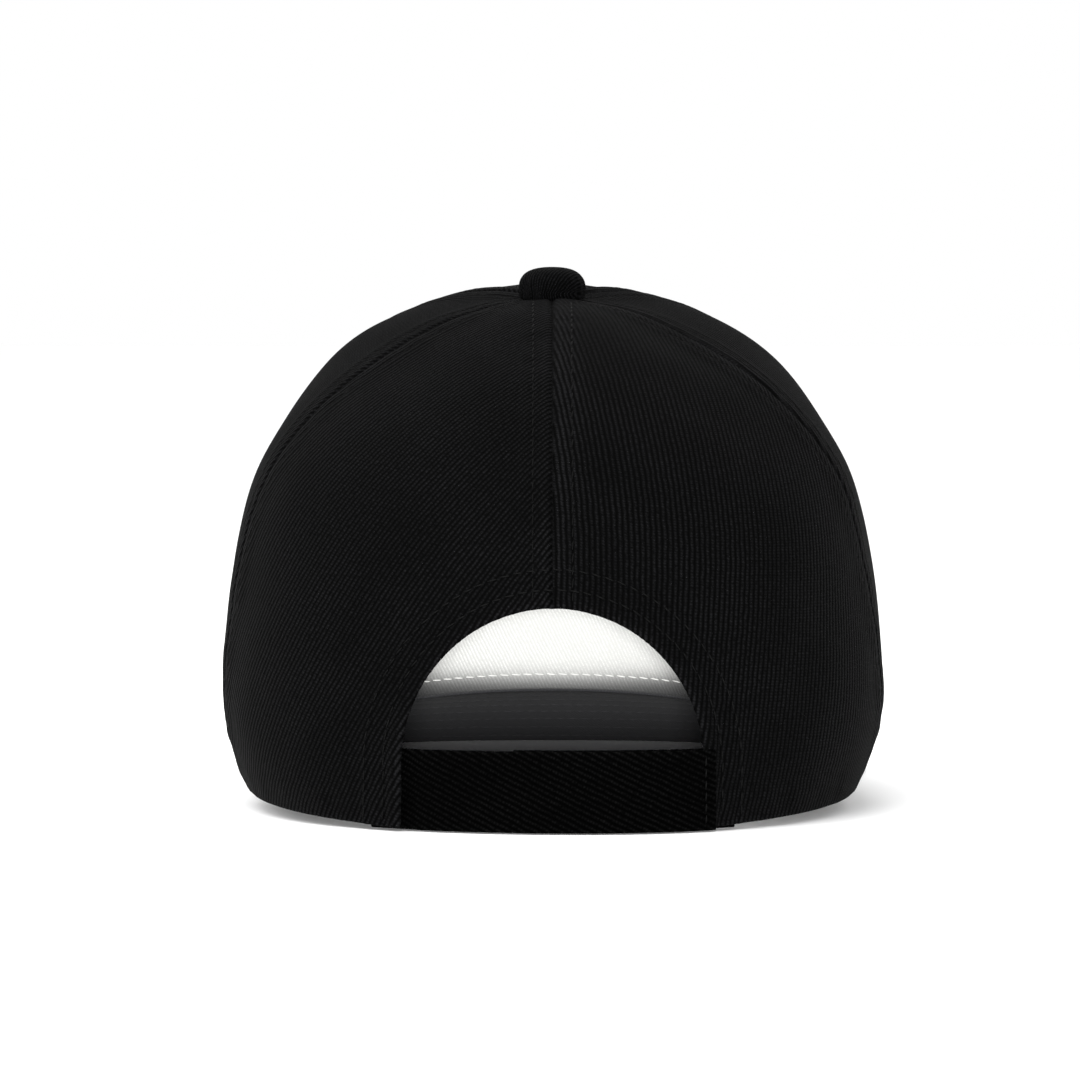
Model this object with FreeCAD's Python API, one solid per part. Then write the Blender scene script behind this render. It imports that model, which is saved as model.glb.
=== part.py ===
"""Six-panel baseball cap with an arch opening and a hook-and-loop strap at the back.

Frame: millimetres, +Z up. The cap stands on the plane Z = 0, on the back of its crown and on the
sides of its brim. The origin is on that plane, under the button, at the middle of the head opening.
The brim points along -Y, the arch opening and its strap face +Y, and the wearer's left is +X.
Azimuth is measured about Z: 0 is the centre of the back, 90 the left side, 180 the front.
"""
import FreeCAD, Part
import math
import os

V = FreeCAD.Vector

# ---- driving dimensions ----
crown_height = 128.0        # table to the top of the crown, under the button
crown_width = 167.0         # widest across the sides
crown_length = 195.0        # back to front of the crown, over the panels
panel_thickness = 0.9       # twill
seam_gap = 0.15             # between two panels, each side of a seam
seam_azimuth_top = 55.0     # the back panels' side seams, at the button
seam_azimuth_base = 71.0    # the same seams at the head opening
front_seam_azimuth = 122.0  # the front panels' side seams
crown_hole_radius = 3.0     # hole at the top, for the button's post

buckram_thickness = 0.5
buckram_gap = 4.0           # the buckram stops this far from the seams beside it
lining_top = 1.5            # station where the linings stop, round the button's washer
lining_margin = 0.15        # stations between the tapes' lower ends and the crown's edge
base_margin = 1.5           # the sweatband and the buckram stop this far above the crown's edge
tape_width = 12.0           # seam tape
tape_thickness = 0.4
tape_clearance = 2.0        # between the back tape's lower end and the tape that faces the arch
sweatband_height = 32.0
sweatband_thickness = 1.1
sweatband_gap = 0.5         # between the sweatband and the seam tapes
sweatband_clearance = 3.0   # between its two ends and the tape that faces the arch
layer_gap = 0.1             # between two cloth layers that lie on each other

arch_height = 54.0          # table to the top of the arch
arch_half_width = 36.5
arch_straight = 16.0        # straight foot of the arch, below its round part
facing_width = 12.0         # tape that faces the arch on its inner side
facing_thickness = 0.6
facing_set_back = 0.8       # from the arch's edge to the facing's
facing_top = 4.5            # station above the facing, where its sheet is cut

strap_width = 19.8          # its height, as it stands
strap_base = 0.3            # its lower edge above the table
strap_thickness = 1.5
strap_overlap = 2.2         # how far its free end reaches past the far edge of the arch
hook_thickness = 0.8
hook_length = 34.0
tab_thickness = 1.2
tab_length = 46.0
loop_thickness = 0.8
loop_length = 40.0
patch_margin = 1.6          # hook and loop patches stop this far inside the strap's edges
closure_gap = 0.3           # between the closed hook and loop faces, and at each strap's hinge line
stitched_gap = 0.05         # between a patch and the strap that it is sewn to
root_length = 9.0           # of each strap's end that is sewn inside the crown
hinge_inset = 0.2           # the strap and the tab bend this far inside the arch's edges
hook_inset = 6.0            # from the strap's free end to the hook patch, past its margin
loop_inset = 4.0            # from the tab's hinge to the loop patch

brim_length = 70.0          # from the crown's front to the brim's front edge
brim_half_width = 85.0
brim_azimuth = 112.0        # where the brim's ends meet the crown
brim_clearance = 0.3        # under its outer edge, which lies flat round the brim
brim_seam_gap = 0.6         # between the brim and the crown's outer face
brim_tip = 4.0              # width of the brim at its two ends
brim_bulge = 4.0            # how far it bows up between the crown and the edge
brim_lift = 1.0             # its upper face meets the crown this far above the crown's edge
brim_board_thickness = 1.9
cover_thickness = 0.7
brim_edge_roll = 1.2        # the top cover reaches this far past the layers under it

button_diameter = 16.4
button_height = 6.6
button_cover_thickness = 0.7
button_rim = 1.2            # straight wall of the button's edge
washer_diameter = 13.0
washer_thickness = 0.8
washer_drop = 1.4           # from the panels' inner face to the washer
post_diameter = 3.6
post_head = 0.6             # how far the post stands out below the washer

label_width = 26.0
label_height = 14.0
label_thickness = 0.3
label_azimuth = 100.0       # at the wearer's left
label_rise = 6.0            # above the sweatband's lower edge

# ---- the crown's shape ----
# Five meridians, 45 degrees of azimuth apart, from the back round one side to the front. Each runs
# from the top to the head opening as (radius, height), drawn for a cap of the sizes below.
PROFILE_WIDTH = 167.0
PROFILE_LENGTH = 195.0
PROFILE_HEIGHT = 128.0
MERIDIANS = (
    ((0, 128), (20, 125.5), (39.5, 118.5), (58, 107.5), (73.5, 92.5),
     (85, 75), (92.5, 55), (96, 36), (98, 18), (98, 0)),
    ((0, 128), (20, 125), (40.5, 117), (60, 105.5), (76, 91),
     (86.5, 74.5), (92, 55), (94.5, 37), (95, 19), (91, 2.5)),
    ((0, 128), (22, 126.5), (42.5, 120.5), (58, 110), (69, 96),
     (76.5, 80), (81, 60.5), (83, 41), (82, 22), (76, 6.5)),
    ((0, 128), (21, 130), (41.5, 126), (60, 116), (75, 100),
     (84, 82.5), (88.5, 65.5), (90.5, 49.5), (91, 33.5), (88.5, 16)),
    ((0, 128), (19, 130), (38, 131), (56, 126.5), (72, 115),
     (84, 98.5), (91, 79), (95, 60), (97, 41), (97, 22)),
)
LAST = len(MERIDIANS[0]) - 1      # the station at the head opening

os.makedirs("parts", exist_ok=True)
bodies = {}


def second_differences(values):
    """The second derivatives of the natural cubic spline through evenly spaced values."""
    count = len(values)
    upper = [0.0] * count
    right = [0.0] * count
    for i in range(1, count - 1):
        pivot = 4.0 - upper[i - 1]
        upper[i] = 1.0 / pivot
        load = 6.0 * (values[i + 1] - 2.0 * values[i] + values[i - 1])
        right[i] = (load - right[i - 1]) / pivot
    bend = [0.0] * count
    for i in range(count - 2, 0, -1):
        bend[i] = right[i] - upper[i] * bend[i + 1]
    return bend


def make_spline(values):
    bend = second_differences(values)

    def at(t):
        i = min(max(int(t), 0), len(values) - 2)
        u = t - i
        w = 1.0 - u
        curve = ((w ** 3 - w) * bend[i] + (u ** 3 - u) * bend[i + 1]) / 6.0
        return w * values[i] + u * values[i + 1] + curve
    return at


RADIUS = [make_spline([p[0] for p in m]) for m in MERIDIANS]
HEIGHT = [make_spline([p[1] for p in m]) for m in MERIDIANS]


def azimuth_weights(azimuth):
    """Weights of the five meridians at an azimuth in degrees: a cosine series through them."""
    last = len(MERIDIANS) - 1
    a = math.radians(azimuth)
    weights = []
    for j in range(last + 1):
        total = 0.0
        for k in range(last + 1):
            half = 0.5 if k in (0, last) else 1.0
            total += half * math.cos(k * a) * math.cos(k * j * math.pi / last)
        end = 0.5 if j in (0, last) else 1.0
        weights.append(total * end * 2.0 / last)
    return weights


def crown_point(azimuth, station):
    """A point of the crown's outer face: station 0 is the top, LAST the head opening."""
    weights = azimuth_weights(azimuth)
    radius = sum(w * f(station) for w, f in zip(weights, RADIUS))
    height = sum(w * f(station) for w, f in zip(weights, HEIGHT))
    a = math.radians(azimuth)
    return V(radius * math.sin(a) * crown_width / PROFILE_WIDTH,
             radius * math.cos(a) * crown_length / PROFILE_LENGTH,
             height * crown_height / PROFILE_HEIGHT)


def crown_normal(azimuth, station):
    """The outward normal there."""
    step = 0.05
    low = max(station - step, 0.0)
    high = min(station + step, LAST)
    along = crown_point(azimuth, high) - crown_point(azimuth, low)
    across = crown_point(azimuth + 1.0, station) - crown_point(azimuth - 1.0, station)
    normal = along.cross(across)
    normal.normalize()
    if normal.dot(crown_point(azimuth, station) - V(0, 0, 0)) < 0:
        normal = normal * -1.0
    return normal


def inside(azimuth, station, depth):
    """A point that lies depth inside the crown's outer face."""
    return crown_point(azimuth, station) - crown_normal(azimuth, station) * depth


def station_at(azimuth, length):
    """The station that lies length along the crown above the head opening."""
    station = float(LAST)
    step = 0.02
    done = 0.0
    while done < length and station > step:
        done += (crown_point(azimuth, station) - crown_point(azimuth, station - step)).Length
        station -= step
    return station


def station_at_radius(radius):
    """The station where the crown's side meridian has this radius."""
    station = 0.0
    while crown_point(90.0, station).x < radius:
        station += 0.01
    return station


def surface(grid):
    sheet = Part.BSplineSurface()
    sheet.interpolate(grid)
    return sheet.toShape()


def slab(outer, inner):
    """The closed solid between two grids of points of one size."""
    top = surface(outer)
    bottom = surface(inner)
    faces = [top, bottom]
    for side in range(4):
        faces.append(Part.makeRuledSurface(edge_of(top, side), edge_of(bottom, side)))
    shell = Part.makeShell(faces)
    shell.sewShape()
    solid = Part.makeSolid(shell)
    if solid.Volume < 0:
        solid.reverse()
    return solid


def edge_of(face, side):
    """Edge number side of a sheet, as its own iso curve."""
    sheet = face.Surface
    u0, u1, v0, v1 = sheet.bounds()
    if side == 0:
        return sheet.uIso(u0).toShape()
    if side == 1:
        return sheet.uIso(u1).toShape()
    if side == 2:
        return sheet.vIso(v0).toShape()
    return sheet.vIso(v1).toShape()


def spread(low, high, count):
    return [low + (high - low) * i / (count - 1) for i in range(count)]


def save(name, shape):
    shape.exportStep("parts/" + name + ".step")
    bodies[name] = shape
    print(name, "valid", shape.isValid(), "solids", len(shape.Solids), "volume", round(shape.Volume))


# ---- seams and panels ----
def side_seam(station):
    """Azimuth of the seam between a back and a side panel."""
    share = station / LAST
    return seam_azimuth_top + (seam_azimuth_base - seam_azimuth_top) * share


def front_seam(station):
    return front_seam_azimuth


def back_seam(station):
    return 0.0


def centre_front(station):
    return 180.0


def gap_angle(azimuth, station, gap):
    """The azimuth step that moves a point gap millimetres along the crown."""
    point = crown_point(azimuth, station)
    return math.degrees(gap / math.hypot(point.x, point.y))


def sector(first_seam, last_seam, depth, thickness, stations, columns, margin):
    """Cloth between two seams: a slab whose outer face lies depth inside the crown's."""
    outer = []
    inner = []
    for station in stations:
        low = first_seam(station)
        high = last_seam(station)
        low += gap_angle(low, station, margin)
        high -= gap_angle(high, station, margin)
        row = spread(low, high, columns)
        outer.append([inside(a, station, depth) for a in row])
        inner.append([inside(a, station, depth + thickness) for a in row])
    return slab(outer, inner)


def mirror_x(shape):
    return shape.mirror(V(0, 0, 0), V(1, 0, 0))


def arch_tool(grow, reach_in, reach_out):
    """The arch's outline, grown by grow, as a prism along Y."""
    half = arch_half_width + grow
    rise = arch_height - arch_straight + grow
    bottom = -20.0
    left = V(-half, 0, arch_straight)
    right = V(half, 0, arch_straight)
    centre = V(0, 0, arch_straight)
    peak = V(0, 0, arch_straight + rise)
    if rise > half:
        crest = Part.Ellipse(peak, right, centre)
    else:
        crest = Part.Ellipse(right, peak, centre)
    start = crest.parameter(right)
    end = crest.parameter(left)
    arc = Part.ArcOfEllipse(crest, start, end)
    if arc.value((start + end) / 2).z < arch_straight:
        arc = Part.ArcOfEllipse(crest, end, start)
    corner_left = V(-half, 0, bottom)
    corner_right = V(half, 0, bottom)
    edges = [arc.toShape(), Part.makeLine(left, corner_left),
             Part.makeLine(corner_left, corner_right), Part.makeLine(corner_right, right)]
    wire = Part.Wire(Part.__sortEdges__(edges))
    face = Part.Face(wire)
    face.translate(V(0, reach_in, 0))
    return face.extrude(V(0, reach_out - reach_in, 0))


def make_panels():
    top = station_at_radius(crown_hole_radius)
    stations = spread(top, LAST, 19)
    back = sector(back_seam, side_seam, 0.0, panel_thickness, stations, 9, seam_gap)
    side = sector(side_seam, front_seam, 0.0, panel_thickness, stations, 9, seam_gap)
    front = sector(front_seam, centre_front, 0.0, panel_thickness, stations, 9, seam_gap)
    back = back.cut(arch_tool(0.0, 20.0, crown_length))
    for name, shape in (("back_panel", back), ("side_panel", side), ("front_panel", front)):
        save(name + "_left", shape)
        save(name + "_right", mirror_x(shape))


# ---- linings ----
buckram_depth = panel_thickness + layer_gap
tape_depth = buckram_depth + buckram_thickness + layer_gap
sweatband_depth = tape_depth + tape_thickness + sweatband_gap


def make_buckram():
    stations = spread(lining_top, station_at(180.0, base_margin), 15)
    shape = sector(front_seam, centre_front, buckram_depth, buckram_thickness, stations, 7, buckram_gap)
    save("buckram_left", shape)
    save("buckram_right", mirror_x(shape))


def tape_along(seam, stations):
    outer = []
    inner = []
    for station in stations:
        centre = seam(station)
        turn = gap_angle(centre, station, tape_width / 2)
        row = spread(centre - turn, centre + turn, 5)
        outer.append([inside(a, station, tape_depth) for a in row])
        inner.append([inside(a, station, tape_depth + tape_thickness) for a in row])
    return slab(outer, inner)


def make_tapes():
    base = LAST - lining_margin
    arch_top = LAST
    while crown_point(0.0, arch_top).z < arch_height + facing_width + tape_clearance:
        arch_top -= 0.02
    save("seam_tape_back", tape_along(back_seam, spread(lining_top, arch_top, 9)))
    save("seam_tape_front", tape_along(centre_front, spread(lining_top, base, 13)))
    rear = tape_along(side_seam, spread(lining_top, base, 13))
    fore = tape_along(front_seam, spread(lining_top, base, 13))
    save("seam_tape_side_back_left", rear)
    save("seam_tape_side_back_right", mirror_x(rear))
    save("seam_tape_side_front_left", fore)
    save("seam_tape_side_front_right", mirror_x(fore))


def arch_azimuth():
    """The azimuth just outside the tape that faces the arch, near the arch's foot."""
    azimuth = 1.0
    clear = arch_half_width + facing_width + sweatband_clearance
    while crown_point(azimuth, LAST - 0.6).x < clear:
        azimuth += 0.1
    return azimuth


def make_sweatband():
    """One band from one side of the arch round the front to the other."""
    start = arch_azimuth()
    outer = []
    inner = []
    columns = spread(start, 360.0 - start, 49)
    for share in spread(0.0, 1.0, 5):
        row_out = []
        row_in = []
        for a in columns:
            station = station_at(a, base_margin + sweatband_height * share)
            row_out.append(inside(a, station, sweatband_depth))
            row_in.append(inside(a, station, sweatband_depth + sweatband_thickness))
        outer.append(row_out)
        inner.append(row_in)
    save("sweatband", slab(outer, inner))


def make_facing():
    """Tape on the inner side of the back panels, along the arch."""
    reach = arch_azimuth()
    outer = []
    inner = []
    depth = panel_thickness + layer_gap
    for station in spread(facing_top, LAST - lining_margin, 11):
        row = spread(-reach, reach, 15)
        outer.append([inside(a, station, depth) for a in row])
        inner.append([inside(a, station, depth + facing_thickness) for a in row])
    sheet = slab(outer, inner)
    band = sheet.common(arch_tool(facing_width, 20.0, crown_length))
    band = band.cut(arch_tool(facing_set_back, 15.0, crown_length + 5.0))
    save("arch_facing", band)


def make_label():
    """A blank care label on the sweatband's inner face."""
    depth = sweatband_depth + sweatband_thickness + layer_gap
    outer = []
    inner = []
    turn = gap_angle(label_azimuth, LAST, label_width / 2)
    for rise in spread(label_rise, label_rise + label_height, 4):
        row_out = []
        row_in = []
        for a in spread(label_azimuth - turn, label_azimuth + turn, 7):
            station = station_at(a, base_margin + rise)
            row_out.append(inside(a, station, depth))
            row_in.append(inside(a, station, depth + label_thickness))
        outer.append(row_out)
        inner.append(row_in)
    save("care_label", slab(outer, inner))


# ---- strap, tab and their patches ----
def back_face(x, z):
    """The point of the crown's outer face, at the back, at this x and height."""
    azimuth = math.degrees(math.atan2(x, crown_length / 2))
    station = float(LAST)
    for _ in range(20):
        point = crown_point(azimuth, station)
        azimuth += (x - point.x) * 0.5
        station += (point.z - z) / 20.0
    return crown_point(azimuth, station)


def band(x_start, x_end, outer_depth, thickness, low, high):
    """A strip of cloth along the crown's back, between heights low and high.

    outer_depth(x) is how far its outer face lies inside the crown's outer face."""
    outer = []
    inner = []
    for x in spread(x_start, x_end, 9):
        row_out = []
        row_in = []
        for z in spread(low, high, 4):
            behind = back_face(x - 0.5, z)
            ahead = back_face(x + 0.5, z)
            normal = V(behind.y - ahead.y, 1.0, 0)
            normal.normalize()
            base = back_face(x, z)
            row_out.append(base - normal * outer_depth(x))
            row_in.append(base - normal * (outer_depth(x) + thickness))
        outer.append(row_out)
        inner.append(row_in)
    return slab(outer, inner)


strap_hinge_x = arch_half_width - hinge_inset
strap_end_x = -(arch_half_width + strap_overlap)
tab_hinge_x = -strap_hinge_x
strap_outer_near = panel_thickness + layer_gap      # at its root the strap is inside the panel
strap_outer_far = -(strap_thickness + 2 * closure_gap)  # at its free end it lies on the panel


def strap_depth(x):
    """The strap leaves the inside of one panel and ends on the outside of the other."""
    share = (strap_hinge_x - x) / (strap_hinge_x - strap_end_x)
    smooth = share * share * (3.0 - 2.0 * share)
    return strap_outer_near + (strap_outer_far - strap_outer_near) * smooth


def root_depth(x):
    """The sewn end lies behind the tape that faces the arch."""
    return panel_thickness + facing_thickness + 3 * layer_gap


def hook_depth(x):
    return strap_depth(x) + strap_thickness + stitched_gap


def tab_depth(x):
    """The tab's outer face stays behind both closed patches, and behind the arch's facing."""
    stack = strap_thickness + hook_thickness + closure_gap + loop_thickness + 2 * stitched_gap
    shortfall = root_depth(x) - (strap_outer_far + stack)
    return strap_depth(x) + stack + max(shortfall, 0.0)


def loop_depth(x):
    return tab_depth(x) - loop_thickness - stitched_gap


def make_closure():
    low = strap_base
    high = strap_base + strap_width
    start = strap_hinge_x - closure_gap
    save("strap", band(start, strap_end_x, strap_depth, strap_thickness, low, high))
    root_start = strap_hinge_x + closure_gap
    save("strap_root", band(root_start + root_length, root_start, root_depth,
                            strap_thickness, low, high))
    hook_end = strap_end_x + patch_margin + hook_inset
    save("hook_patch", band(hook_end + hook_length, hook_end, hook_depth, hook_thickness,
                            low + patch_margin, high - patch_margin))
    tab_start = tab_hinge_x + closure_gap
    save("tab", band(tab_start + tab_length, tab_start, tab_depth, tab_thickness, low, high))
    save("tab_root", band(tab_hinge_x - closure_gap, tab_hinge_x - closure_gap - root_length, tab_depth,
                          tab_thickness, low, high))
    loop_end = tab_start + loop_inset
    save("loop_patch", band(loop_end + loop_length, loop_end, loop_depth, loop_thickness,
                            low + patch_margin, high - patch_margin))


# ---- brim ----
brim_under_depth = cover_thickness + brim_board_thickness + 2 * layer_gap
brim_edge_height = brim_clearance + brim_under_depth + cover_thickness


def brim_inner(azimuth, clearance):
    point = crown_point(azimuth, LAST)
    outward = V(point.x, point.y, 0)
    outward.normalize()
    return point + outward * clearance


def brim_outer(share):
    """The brim's front edge in plan: share -1 and 1 are its two ends."""
    root = brim_inner(brim_azimuth, brim_seam_gap + brim_tip)
    front_y = crown_point(180.0, LAST).y - brim_length
    a = share * math.pi / 2
    reach = abs(math.cos(a)) ** 0.62
    width = root.x + (brim_half_width - root.x) * min(1.0, 4.0 * reach * (1.0 - 0.55 * reach))
    x = width * math.copysign(abs(math.sin(a)) ** 0.80, a)
    return V(x, root.y + (front_y - root.y) * reach, 0)


def brim_layer(top, thickness, roll):
    """A layer of the brim: its upper face lies top below the brim's upper face."""
    outer = []
    inner = []
    for share in spread(-1.0, 1.0, 33):
        azimuth = 180.0 - share * (180.0 - brim_azimuth)
        start = brim_inner(azimuth, brim_seam_gap)
        edge = brim_outer(share)
        row_out = []
        row_in = []
        for v in spread(0.0, 1.0, 7):
            x = start.x + (edge.x - start.x) * v
            y = start.y + (edge.y - start.y) * v
            pull = V(x, y, 0) - V(0, crown_point(180.0, LAST).y / 2, 0)
            pull.normalize()
            x -= pull.x * roll * v
            y -= pull.y * roll * v
            z = start.z + brim_lift + (brim_edge_height - start.z - brim_lift) * v
            z += brim_bulge * math.sin(math.pi * v) * (1.0 - abs(share) ** 3)
            row_out.append(V(x, y, z - top))
            row_in.append(V(x, y, z - top - thickness))
        outer.append(row_out)
        inner.append(row_in)
    return slab(outer, inner)


def make_brim():
    save("brim_top_cover", brim_layer(0.0, cover_thickness, 0.0))
    save("brim_board", brim_layer(cover_thickness + layer_gap, brim_board_thickness, brim_edge_roll))
    save("brim_under_cover", brim_layer(brim_under_depth, cover_thickness, brim_edge_roll))


# ---- button ----
def dome(radius, height, rim):
    """A button's outer shape: a short straight wall under a shallow dome, on the plane Z = 0."""
    rise = height - rim
    sphere_radius = (radius * radius + rise * rise) / (2 * rise)
    ball = Part.makeSphere(sphere_radius, V(0, 0, height - sphere_radius))
    wall = Part.makeCylinder(radius, height + 1.0)
    return ball.common(wall)


def seat(shape):
    """Sets a piece that is built about the origin on the crown's top, which slopes to the back."""
    station = station_at_radius(button_diameter / 2)
    front = crown_point(180.0, station)
    back = crown_point(0.0, station)
    tilt = math.degrees(math.atan2(front.z - back.z, back.y - front.y))
    slope = (front.z - back.z) / (front.y - back.y)
    rises = []
    for azimuth in spread(0.0, 180.0, 13):
        point = crown_point(azimuth, station)
        rises.append(point.z - (back.z + slope * (point.y - back.y)))
    middle = back.z - slope * back.y
    placed = shape.copy()
    placed.rotate(V(0, 0, 0), V(1, 0, 0), -tilt)
    placed.translate(V(0, 0, middle + max(rises) + 2 * layer_gap))
    return placed


def make_button():
    radius = button_diameter / 2
    skin = button_cover_thickness
    room = dome(radius - skin, button_height - skin, button_rim)
    cover = dome(radius, button_height, button_rim).cut(room)
    core = dome(radius - skin - layer_gap, button_height - skin - layer_gap, button_rim)
    save("button_cover", seat(cover))
    save("button_shell", seat(core))
    washer_top = -(panel_thickness + washer_drop)
    washer = Part.makeCylinder(washer_diameter / 2, washer_thickness, V(0, 0, washer_top - washer_thickness))
    hole_base = V(0, 0, washer_top - 2 * washer_thickness)
    hole = Part.makeCylinder(post_diameter / 2, 3 * washer_thickness, hole_base)
    rivet = washer_thickness + post_head
    post = Part.makeCylinder(post_diameter / 2, rivet - washer_top, V(0, 0, washer_top - rivet))
    save("button_washer", seat(washer.cut(hole)))
    save("button_post", seat(post))


make_panels()
make_buckram()
make_tapes()
make_sweatband()
make_facing()
make_label()
make_closure()
make_brim()
make_button()
whole = Part.makeCompound(list(bodies.values()))
print("size", whole.BoundBox)
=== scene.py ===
# %% [markdown]
# # A six-panel baseball cap
# The cap is sewn from black cotton twill: six gores for the crown, a stiffened front, a curved brim
# and a hook-and-loop strap across an arch at the back. The frame below holds every piece at its real
# place. This script gives each piece the cloth, the folds, the seams and the thread that it has in
# the hand, and never moves a frame part.

# %% Load the frame
import bpy
import bmesh
import math
import numpy as np
from mathutils import Matrix, Vector


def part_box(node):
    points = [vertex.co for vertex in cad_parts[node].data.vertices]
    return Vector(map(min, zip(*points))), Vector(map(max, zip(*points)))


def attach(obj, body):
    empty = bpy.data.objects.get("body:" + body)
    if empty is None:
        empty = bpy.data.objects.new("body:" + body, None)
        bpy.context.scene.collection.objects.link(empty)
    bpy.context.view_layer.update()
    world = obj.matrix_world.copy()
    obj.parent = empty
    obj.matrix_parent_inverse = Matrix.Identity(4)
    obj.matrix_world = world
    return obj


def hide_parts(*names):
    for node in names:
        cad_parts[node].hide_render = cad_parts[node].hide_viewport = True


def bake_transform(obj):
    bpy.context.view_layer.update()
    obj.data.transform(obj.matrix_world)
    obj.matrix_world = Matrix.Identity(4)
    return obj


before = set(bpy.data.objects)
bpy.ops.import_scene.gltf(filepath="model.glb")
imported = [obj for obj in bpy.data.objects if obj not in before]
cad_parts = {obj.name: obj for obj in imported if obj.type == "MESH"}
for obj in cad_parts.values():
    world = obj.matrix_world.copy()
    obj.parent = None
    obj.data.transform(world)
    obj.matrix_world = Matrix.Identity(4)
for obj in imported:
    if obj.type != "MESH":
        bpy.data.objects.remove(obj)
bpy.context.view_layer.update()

MM = 0.001

# %% [markdown]
# ## The shape of the crown
# A crown has no straight lines, so it is described once, as a surface that every sewn piece then
# follows. Five meridians run from the button down to the head opening, 45 degrees apart from the back
# round one side to the front. A smooth curve joins the points of each, and a cosine series joins the
# meridians, which keeps the two halves alike and the surface smooth everywhere.

# %% The crown's surface
MERIDIANS = np.array((
    ((0, 128), (20, 125.5), (39.5, 118.5), (58, 107.5), (73.5, 92.5),
     (85, 75), (92.5, 55), (96, 36), (98, 18), (98, 0)),
    ((0, 128), (20, 125), (40.5, 117), (60, 105.5), (76, 91),
     (86.5, 74.5), (92, 55), (94.5, 37), (95, 19), (91, 2.5)),
    ((0, 128), (22, 126.5), (42.5, 120.5), (58, 110), (69, 96),
     (76.5, 80), (81, 60.5), (83, 41), (82, 22), (76, 6.5)),
    ((0, 128), (21, 130), (41.5, 126), (60, 116), (75, 100),
     (84, 82.5), (88.5, 65.5), (90.5, 49.5), (91, 33.5), (88.5, 16)),
    ((0, 128), (19, 130), (38, 131), (56, 126.5), (72, 115),
     (84, 98.5), (91, 79), (95, 60), (97, 41), (97, 22)),
), float)
LAST = MERIDIANS.shape[1] - 1


def spline_bends(values):
    """Second derivatives of the natural cubic spline through evenly spaced rows of values."""
    count = len(values)
    matrix = np.eye(count)
    load = np.zeros_like(values)
    for i in range(1, count - 1):
        matrix[i, i - 1:i + 2] = (1, 4, 1)
        load[i] = 6 * (values[i + 1] - 2 * values[i] + values[i - 1])
    return np.linalg.solve(matrix, load)


STATIONS = np.concatenate([MERIDIANS[:, :, 0].T, MERIDIANS[:, :, 1].T], axis=1)
BENDS = spline_bends(STATIONS)


def meridian_weights(azimuth):
    """How much of each meridian there is at these azimuths, in degrees."""
    last = len(MERIDIANS) - 1
    a = np.radians(azimuth)[..., None]
    j = np.arange(last + 1)
    total = 0
    for k in range(last + 1):
        half = 0.5 if k in (0, last) else 1.0
        total = total + half * np.cos(k * a) * np.cos(k * j * math.pi / last)
    ends = np.where((j == 0) | (j == last), 0.5, 1.0)
    return total * ends * 2 / last


def crown(azimuth, station):
    """Points of the crown's outer face in millimetres: azimuth 0 is the back, 90 the wearer's left."""
    azimuth, station = np.broadcast_arrays(np.asarray(azimuth, float), np.asarray(station, float))
    i = np.clip(station.astype(int), 0, LAST - 1)
    u = (station - i)[..., None]
    w = 1 - u
    rows = w * STATIONS[i] + u * STATIONS[i + 1]
    rows += ((w ** 3 - w) * BENDS[i] + (u ** 3 - u) * BENDS[i + 1]) / 6
    weights = meridian_weights(azimuth)
    radius = (rows[..., :5] * weights).sum(-1)
    height = (rows[..., 5:] * weights).sum(-1)
    a = np.radians(azimuth)
    return np.stack([radius * np.sin(a), radius * np.cos(a), height], -1)


def crown_normal(azimuth, station):
    """Outward unit normals there."""
    azimuth, station = np.broadcast_arrays(np.asarray(azimuth, float), np.asarray(station, float))
    down = crown(azimuth, np.minimum(station + 0.05, LAST)) - crown(azimuth, np.maximum(station - 0.05, 0.02))
    along = crown(azimuth + 1, station) - crown(azimuth - 1, station)
    normal = np.cross(down, along)
    normal /= np.linalg.norm(normal, axis=-1, keepdims=True) + 1e-12
    centre = np.array([0, 0, 40.0])
    flip = np.sign((normal * (crown(azimuth, station) - centre)).sum(-1, keepdims=True))
    return normal * flip


half_width = crown(90.0, np.linspace(0, LAST, 200))[:, 0].max()

# %% [markdown]
# ## Seams, hems and lengths along the cloth
# Four seams run down the sides, one down the back and one down the front. The arch at the back is a
# half ellipse on two short straight feet. Distances along the cloth decide where a hem rolls over, where
# a seam sinks and where the thread runs, so they are measured here once.

# %% Seams and distances
SEAM_TOP, SEAM_BASE, SEAM_FRONT = 55.0, 71.0, 122.0     # degrees round from the back
ARCH_HEIGHT, ARCH_HALF, ARCH_FOOT = 54.0, 36.5, 16.0
STATION_LENGTH = 19.0     # millimetres of cloth from one station to the next, low on the crown
BACK_REACH, STATION_DROP = 97.0, 22.0                   # where the search for a place on the back starts


def ease(share):
    """A smooth way from 0 to 1."""
    return share ** 2 * (3 - 2 * share)


def side_seam(station):
    return SEAM_TOP + (SEAM_BASE - SEAM_TOP) * np.asarray(station, float) / LAST


def steady(value):
    return lambda station: np.full(np.shape(station), float(value))


def arc_lengths(points):
    """Running length along rows of points."""
    steps = np.linalg.norm(np.diff(points, axis=0), axis=-1)
    return np.concatenate([[0], np.cumsum(steps)])


def arch_outline(grow=0.0, count=90, base=-1.0):
    """The arch in X and Z, from the left foot over the top to the right foot, grown by grow."""
    half = ARCH_HALF + grow
    rise = ARCH_HEIGHT - ARCH_FOOT + grow
    turn = np.linspace(0, math.pi, count)
    curve = np.stack([half * np.cos(turn), ARCH_FOOT + rise * np.sin(turn)], -1)
    foot = np.linspace(base, ARCH_FOOT, 16)[:-1]
    left = np.stack([np.full_like(foot, half), foot], -1)
    right = np.stack([np.full_like(foot, -half), foot[::-1]], -1)
    return np.concatenate([left, curve, right])


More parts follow.
